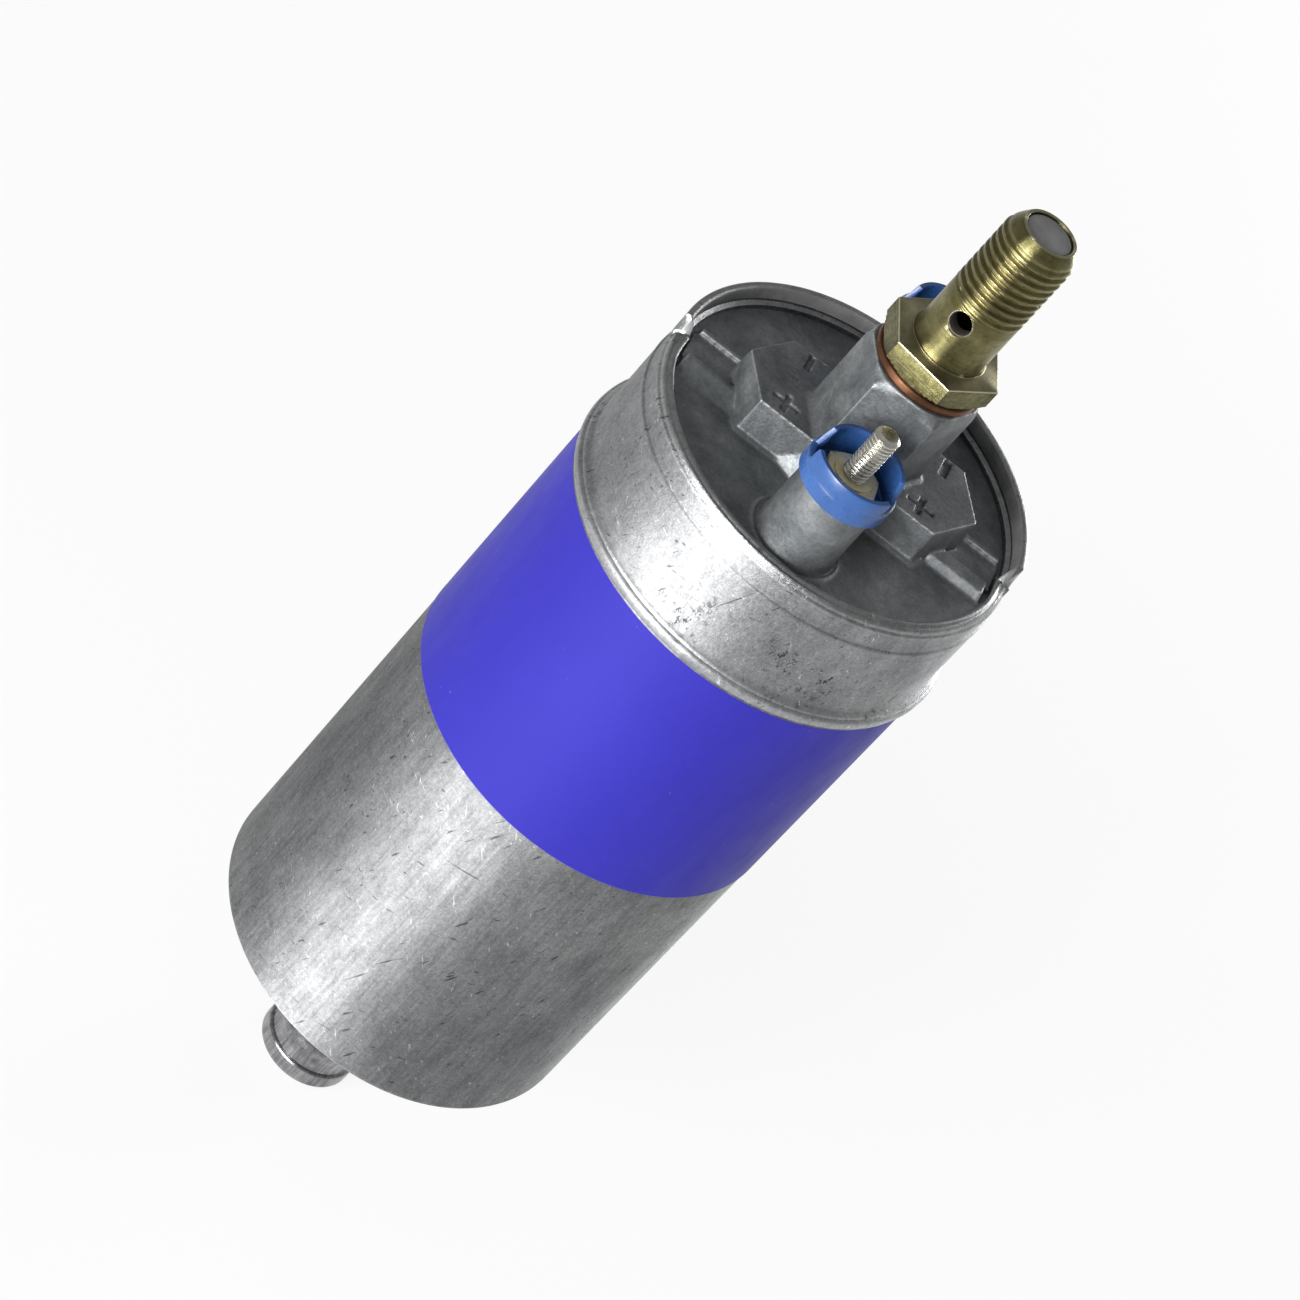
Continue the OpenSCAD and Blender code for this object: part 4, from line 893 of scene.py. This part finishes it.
def add_platform(bm):
    """The platform with its signs cut into the top."""
    block = bmesh.new()
    prism(block, grow(PLATFORM, 0.2), COVER_Z - 1, PLATFORM_Z, COVER_TURN, top_points=PLATFORM)
    block = new_object("platform", block)
    signs = bmesh.new()
    for v, u, along, across in MARKS:
        bar(signs, v - along / 2, v + along / 2, -u - across / 2, -u + across / 2,
            PLATFORM_Z - MARK_DEPTH, PLATFORM_Z + 1, COVER_TURN)
    carve(block, new_object("signs", signs))
    block.data.transform(Matrix.Scale(1 / MM, 4))
    bm.from_mesh(block.data)
    bpy.data.objects.remove(block)


def roughen(mesh):
    """A rough cast spot on the platform."""
    a = math.radians(COVER_TURN)
    for vert in mesh.vertices:
        x, y, z = vert.co / MM
        if PLATFORM_Z - 0.3 < z < PLATFORM_Z + 0.2:
            v = x * math.cos(a) + y * math.sin(a)
            u = x * math.sin(a) - y * math.cos(a)
            away = math.hypot(v - ROUGH_PATCH[0], u - ROUGH_PATCH[1]) / ROUGH_REACH
            if away < 1:
                lump = noise.noise(Vector((v * 2.2, u * 2.2, 0.0)))
                vert.co.z += ROUGH_HEIGHT * MM * (1 - away * away) * lump


def cover():
    bm = bmesh.new()
    casting_shapes(bm)
    top = new_object("cover_casting", bm)
    remesh = top.modifiers.new("solid", "REMESH")
    remesh.mode = "VOXEL"
    remesh.voxel_size = VOXEL * MM
    soften = top.modifiers.new("soften", "SMOOTH")
    soften.factor = 0.5
    soften.iterations = 3
    apply_modifiers(top)
    roughen(top.data)
    for p in top.data.polygons:
        p.use_smooth = True
    return dress(top, "die_cast", "end_cover")


def cover_skirt():
    profile = [(25.2, 66.0), (CASTING_R, 66.0), (CASTING_R, 84.0), (26.7, 84.0), (26.7, 87.0),
               (CASTING_R, 87.0), (CASTING_R, 92.5), (5.0, 92.5), (5.0, 72.0), (6.9, 72.0),
               (6.9, 89.5), (25.2, 89.5)]
    return dress(lathe("cover_skirt", profile, 128, closed=True), "die_cast")


# The outlet

CHAMFER_INSET = 0.15
BEVEL = 0.22
CREST_SHARE = 0.34
THREAD_R = 5.95
THREAD_PITCH = 1.5
THREAD_CUT = 0.56
GROOVE = [(0.0, 0.0), (0.1, 0.05), (0.18, 0.05), (0.28, 0.0)]
SHANK_SHARP = 38.0
NOSE_DROP = 1.53
PLUG_LOW = 144.4
HOLLOW_R = 3.6


def hex_reach(angle, flat):
    return flat / math.cos(math.radians((angle + 30) % 60 - 30))


def hex_head(name, flat, low, high, bottom_cut, top_cut, bore, centre=(0.0, 0.0), turn=0.0, collar=0.0):
    """A six-sided head with a hole, and with conical chamfers at its corners or a small bevel at its top."""
    count = 72
    corner = flat / math.cos(math.radians(30))
    rows = []

    def ring(z, limit, inset=0.0):
        row = []
        for i in range(count):
            angle = i * TURN / count
            radius = min(hex_reach(angle, flat - inset), limit)
            a = math.radians(angle + turn)
            row.append((centre[0] + radius * math.cos(a), centre[1] + radius * math.sin(a), z))
        rows.append(row)

    def chamfer(z, cut, shares):
        for share in shares:
            ring(z + cut * share, flat - CHAMFER_INSET + (corner - flat + CHAMFER_INSET + 0.01) * share)

    ring(low, bore)
    if bottom_cut:
        ring(low, flat - CHAMFER_INSET)
        chamfer(low, bottom_cut, (0.25, 0.5, 0.75, 1.0))
    else:
        ring(low, corner)
    if top_cut:
        chamfer(high, -top_cut, (1.0, 0.75, 0.5, 0.25, 0.0))
    else:
        ring(high - BEVEL, corner)
        ring(high - 0.3 * BEVEL, corner, 0.3 * BEVEL)
        ring(high, corner, BEVEL)
    if collar:
        ring(high, collar + 0.1)
        ring(high + 0.28, collar)
        high += 0.3
        ring(high, collar - 0.1)
    ring(high, bore)
    bm = bmesh.new()
    grid(bm, rows, True)
    return new_object(name, bm, 24.0)


def thread_depth(phase):
    """Share of the full depth along one pitch: crest, flank, root, flank."""
    phase %= 1.0
    if phase < CREST_SHARE:
        return 0.0
    return math.sin(math.pi * (phase - CREST_SHARE) / (1 - CREST_SHARE))


def nose_radius(z):
    """Outer radius of the outlet from its thread to its end."""
    return THREAD_R - NOSE_DROP * max(0.0, (z - NOSE_LOW) / (OUTLET_TOP - NOSE_LOW)) ** 1.4


def thread_rows(radius, pitch, depth, low, high, segments, centre, run_in, run_out, per_pitch=14):
    """Rows of a thread, which runs in and out over some millimetres at its ends."""
    rows = []
    total = int((high - low) / pitch * per_pitch)
    for j in range(total + 1):
        z = low + (high - low) * j / total
        share = min(1.0, (z - low) / run_in, (high - z) / run_out)
        row = []
        for i in range(segments):
            a = 2 * math.pi * i / segments
            cut = depth * thread_depth((z - low) / pitch - i / segments) * share
            reach = (nose_radius(z) if z > NOSE_LOW else radius) - cut
            row.append((centre[0] + reach * math.cos(a), centre[1] + reach * math.sin(a), z))
        rows.append(row)
    return rows


def shank_profile():
    """The outlet up to its thread, with a raised ring at its foot and five turned grooves."""
    foot = FOOT_R - 0.12
    ledge = HEX_TOP + 0.24
    points = [(5.5, 106.0), (5.6, 106.2), (5.6, HEX_TOP - 0.5), (FOOT_R + 0.12, HEX_TOP - 0.1),
              (FOOT_R + 0.12, HEX_TOP + 0.16), (FOOT_R, ledge), (foot, ledge)]
    steps = 8
    for step in range(1, steps + 1):
        points.append((SHANK_R + (foot - SHANK_R) * (1 - step / steps) ** 2, ledge + 0.2 * step))
    z = HEX_TOP + 2.4
    while z < 131.6:
        points.append((SHANK_R, z))
        z += 0.8
    for i in range(5):
        start = 131.8 + i * 0.34
        for step, drop in GROOVE:
            points.append((SHANK_R - drop, start + step))
    return points


def outlet():
    segments = 128
    rows = rings(shank_profile(), segments)
    rows += thread_rows(THREAD_R, THREAD_PITCH, THREAD_CUT, THREAD_LOW, THREAD_HIGH, segments, (0.0, 0.0),
                        1.2, 1.5)
    nose = [(nose_radius(z), z) for z in (147.0, 147.2, 147.4, 147.6, 147.8, 148.0, 148.16, OUTLET_TOP)]
    nose += [(PLUG_R + 0.16, OUTLET_TOP), (PLUG_R + 0.08, OUTLET_TOP - 0.1), (PLUG_R + 0.06, PLUG_LOW)]
    bm = bmesh.new()
    capped(bm, rows + rings(nose, segments))
    shank = new_object("outlet_shank", bm, SHANK_SHARP)
    drill = lathe("drill", [(CROSS_R + 0.35, -8.0), (CROSS_R + 0.35, -5.8), (CROSS_R + 0.02, -5.35),
                            (CROSS_R, 0.0)], 48)
    across = Matrix.Rotation(math.radians(CROSS_TURN), 4, "Z") @ Matrix.Rotation(math.radians(-90), 4, "X")
    drill.matrix_world = Matrix.Translation((0, 0, CROSS_Z * MM)) @ across
    hollow = [(0.01, 112.0), (HOLLOW_R, 112.0), (HOLLOW_R, 143.8), (0.01, 143.8)]
    carve(shank, drill, lathe("hollow", hollow, 48))
    shank.data.set_sharp_from_angle(angle=math.radians(SHANK_SHARP))
    dress(shank, "yellow_zinc", "outlet_fitting")
    head = hex_head("outlet_hex", HEX_FLAT, COPPER_TOP, HEX_TOP, 1.0, 0.0, 5.5, turn=HEX_TURN + 30)
    return dress(head, "yellow_zinc")


def outlet_end():
    top = OUTLET_TOP - 0.25
    profile = [(PLUG_R, PLUG_LOW), (PLUG_R, top - 0.2), (PLUG_R - 0.15, top - 0.05), (2.4, top),
               (0.01, top + 0.02)]
    return dress(lathe("outlet_disc", profile, 96), "grey_plug", "outlet_plug")


def copper_ring():
    inner = 5.95
    profile = [(inner, BOSS_Z)]
    profile += arc(8.55, BOSS_Z + 0.3, 0.3, -90, 0, 4)
    profile += arc(8.55, COPPER_TOP - 0.3, 0.3, 0, 90, 4)
    profile += [(inner, COPPER_TOP)]
    return dress(lathe("copper_ring", profile, 128, closed=True), "copper", "copper_seal_ring")


# The terminals

WASHER_LOW = 106.6
WASHER_HIGH = 107.2
WASHER_R = 4.5
FRONT_HALF = 63.0
BACK_HALF = 98.0

# Radius and height over the post of the cup's wall: all round, at the front, at the back and between.
CUP_FULL = [(7.45, 0.15), (7.45, 1.5), (7.45, 2.35), (7.42, 2.48), (7.38, 2.62)]
CUP_FRONT = [(7.36, 3.4), (7.34, 5.0), (7.24, 5.2), (6.55, 5.2), (6.42, 5.05), (6.4, 3.4), (6.38, 2.6)]
CUP_BACK = [(6.75, 3.4), (6.62, 5.9), (6.5, 6.1), (5.9, 6.1), (5.8, 5.95), (5.85, 3.4), (5.95, 2.6)]
CUP_GAP = [(7.2, 2.72), (7.05, 2.74), (6.9, 2.74), (6.7, 2.74), (6.5, 2.72), (6.4, 2.66), (6.38, 2.6)]


def cup_shares(angle):
    """How much of the front wall and of the back wall stands at an angle from the camera side."""
    a = turn_between(angle, 0)
    front = smoothstep((FRONT_HALF - a) / 5.0 + 0.5)
    back = smoothstep((a - BACK_HALF) / 10.0 + 0.5)
    return front, back


def cup(name, centre, node):
    steps = 180
    columns = []
    for i in range(steps):
        angle = i * TURN / steps
        front, back = cup_shares(angle)
        rest = 1 - front - back
        x, y = polar(1.0, angle + TERMINAL_TURN)
        column = [(5.0, -1.0), (5.3, -1.0), (5.3, -0.02), (7.25, 0.0)] + CUP_FULL
        for f, b, g in zip(CUP_FRONT, CUP_BACK, CUP_GAP):
            column.append(tuple(f[k] * front + b[k] * back + g[k] * rest for k in range(2)))
        column += [(6.2, 0.7), (6.0, 0.5), (4.9, 0.5), (4.8, -1.0)]
        columns.append([(centre[0] + r * x, centre[1] + r * y, POST_Z + z) for r, z in column])
    bm = bmesh.new()
    grid(bm, columns, True)
    return dress(new_object(name, bm, 40.0), "blue_plastic", node)


def stud(name, centre, radius, pitch, node):
    segments = 72
    low = 104.0
    root = [(3.6, 82.5), (3.6, 84.5), (radius * 0.85, 84.5), (radius * 0.85, low - 0.1)]
    tip = [(radius - 0.12, STUD_TOP - 0.4), (radius - 0.4, STUD_TOP - 0.12), (radius - 0.5, STUD_TOP - 0.02),
           (radius - 0.62, STUD_TOP), (0.3, STUD_TOP)]
    thread = thread_rows(radius, pitch, pitch * 0.42, low, STUD_TOP - 0.45, segments, centre, 0.3, 0.3, 16)
    bm = bmesh.new()
    capped(bm, rings(root, segments, centre) + thread + rings(tip, segments, centre))
    return dress(new_object(name, bm, 40.0), "stud_steel", node)


def washer(name, centre, bore, *nodes):
    profile = [(bore, WASHER_LOW), (WASHER_R - 0.05, WASHER_LOW), (WASHER_R, WASHER_LOW + 0.05),
               (WASHER_R, WASHER_HIGH - 0.05), (WASHER_R - 0.05, WASHER_HIGH), (bore, WASHER_HIGH)]
    return dress(lathe(name, profile, 72, centre, True), "brass", *nodes)


def terminals():
    near = polar(TERMINAL_R, TERMINAL_TURN)
    far = polar(-TERMINAL_R, TERMINAL_TURN)
    cup("terminal_cup_front", near, "terminal_cup_near")
    cup("terminal_cup_rear", far, "terminal_cup_far")
    stud("terminal_stud_front", near, 2.0, 0.7, "terminal_stud_near")
    stud("terminal_stud_rear", far, 2.5, 0.8, "terminal_stud_far")
    nut = hex_head("terminal_nut_front", 4.15, WASHER_HIGH, NUT_TOP + 0.3, 0.0, 0.4, 1.9, near, 15.0, 3.2)
    dress(nut, "brass", "terminal_nuts")
    nut = hex_head("terminal_nut_rear", 4.0, WASHER_HIGH, NUT_TOP, 0.0, 0.4, 2.4, far, 48.0)
    dress(nut, "brass")
    washer("terminal_washer_front", near, 2.3, "terminal_washers")
    washer("terminal_washer_rear", far, 2.8)


# The springs

def coil(name, node, wire, turns):
    """A wound wire in the outline of its solid, with closed ends."""
    low, high = [[value / MM for value in corner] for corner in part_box(node)]
    x = (low[0] + high[0]) / 2
    y = (low[1] + high[1]) / 2
    middle = (high[0] - low[0]) / 2 - wire
    open_height = high[2] - low[2] - 6 * wire
    steps = 24
    rows = []
    for i in range(turns * steps + 1):
        turn = i / steps
        closed_turns = min(turn, 1.0) + max(0.0, turn - (turns - 1))
        open_share = min(1.0, max(0.0, (turn - 1) / (turns - 2)))
        z = low[2] + wire + 2 * wire * closed_turns + open_height * open_share
        a = 2 * math.pi * turn
        row = []
        for across, along in arc(0.0, 0.0, wire, 0, 315, 7):
            radius = middle + across
            row.append((x + radius * math.cos(a), y + radius * math.sin(a), z + along))
        rows.append(row)
    bm = bmesh.new()
    capped(bm, rows)
    spring = dress(new_object(name, bm, 60.0), "steel", node)
    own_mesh(spring)


def springs():
    coil("check_spring_wire", "check_spring", 0.3, 6)
    coil("relief_spring_wire", "relief_spring", 0.28, 5)
    for side in ("pos", "neg"):
        coil("brush_spring_wire_" + side, "brush_spring_" + side, 0.25, 9)


casing()
label()
nipple()
cover()
cover_skirt()
outlet()
outlet_end()
copper_ring()
terminals()
springs()

# Inner nodes keep their solids and get their finish.

SLOT_OF = {row["node"]: row["material_slot"] for row in frame["record"]["subparts"]}
for node_name, obj in frame["nodes"].items():
    obj.data.materials.clear()
    obj.data.materials.append(MATERIALS[SLOT_OF[node_name]])


# Floor, light and camera

FLOOR_HALF = 4000
FLOOR_SEEN = 0.84
CAMERA_PLACE = Vector((0.0, -629.8, 530.9)) * MM
CAMERA_RIGHT = (0.736436, 0.41357, 0.53538)
CAMERA_UP = (-0.676511, 0.44719, 0.58512)
CAMERA_BACK = (0.002571, -0.79309, 0.60910)
CAMERA_ANGLE = 14.035


def floor():
    bm = bmesh.new()
    bar(bm, -FLOOR_HALF, FLOOR_HALF, -FLOOR_HALF, FLOOR_HALF, NIPPLE_END - 10, NIPPLE_END - 0.05)
    plane = new_object("studio_floor", bm)
    mat, nt, shader = material("studio_floor", grey(0.93), 0.0, 0.9)
    tone = cloud(nt, 0.01, 2.0, 0.5, [(0.3, 0.925), (0.7, 0.935)])
    nt.links.new(tone, shader.inputs["Base Color"])
    shader.inputs["Specular IOR Level"].default_value = 0.0
    path = nt.nodes.new("ShaderNodeLightPath")
    glow = nt.nodes.new("ShaderNodeEmission")
    glow.inputs["Color"].default_value = (1.0, 1.0, 1.0, 1.0)
    glow.inputs["Strength"].default_value = 1.0
    blend = nt.nodes.new("ShaderNodeMixShader")
    seen = calc(nt, "MAXIMUM", path.outputs["Is Camera Ray"],
                calc(nt, "MAXIMUM", path.outputs["Is Glossy Ray"], path.outputs["Is Transmission Ray"]))
    nt.links.new(times(nt, seen, FLOOR_SEEN), blend.inputs["Fac"])
    nt.links.new(shader.outputs[0], blend.inputs[1])
    nt.links.new(glow.outputs[0], blend.inputs[2])
    nt.links.new(blend.outputs[0], nt.nodes["Material Output"].inputs["Surface"])
    plane.data.materials.append(mat)


def area_light(name, position, target, size, power):
    light = bpy.data.lights.new(name, "AREA")
    light.shape = "RECTANGLE"
    light.size, light.size_y = size
    light.energy = power
    obj = bpy.data.objects.new(name, light)
    place = Vector(position)
    obj.location = place
    obj.rotation_euler = (Vector(target) - place).to_track_quat("-Z", "Y").to_euler()
    bpy.context.scene.collection.objects.link(obj)


def around(distance, angle, height):
    x, y = polar(distance, angle)
    return x, y, height


def lights():
    world = bpy.data.worlds.new("studio")
    bpy.context.scene.world = world
    world.use_nodes = True
    background = world.node_tree.nodes["Background"]
    background.inputs["Color"].default_value = (1.0, 1.0, 1.0, 1.0)
    background.inputs["Strength"].default_value = 0.34
    area_light("key", around(1.0, -20.0, 0.25), (0, 0, 0.03), (0.86, 0.4), 16.0)
    area_light("strip", around(1.0, -17.0, 0.14), (0, 0, 0.05), (0.12, 0.5), 4.5)
    area_light("rim", around(0.8, 155.0, 0.12), (0, 0, 0.03), (0.25, 0.5), 4.0)


def camera():
    data = bpy.data.cameras.new("camera")
    data.sensor_fit = "HORIZONTAL"
    data.angle_x = math.radians(CAMERA_ANGLE)
    data.clip_start = 0.05
    cam = bpy.data.objects.new("camera", data)
    matrix = Matrix((CAMERA_RIGHT, CAMERA_UP, CAMERA_BACK)).transposed().to_4x4()
    matrix.translation = CAMERA_PLACE
    cam.matrix_world = matrix
    bpy.context.scene.collection.objects.link(cam)
    bpy.context.scene.camera = cam


floor()
lights()
camera()
bpy.context.scene.view_settings.view_transform = "Standard"
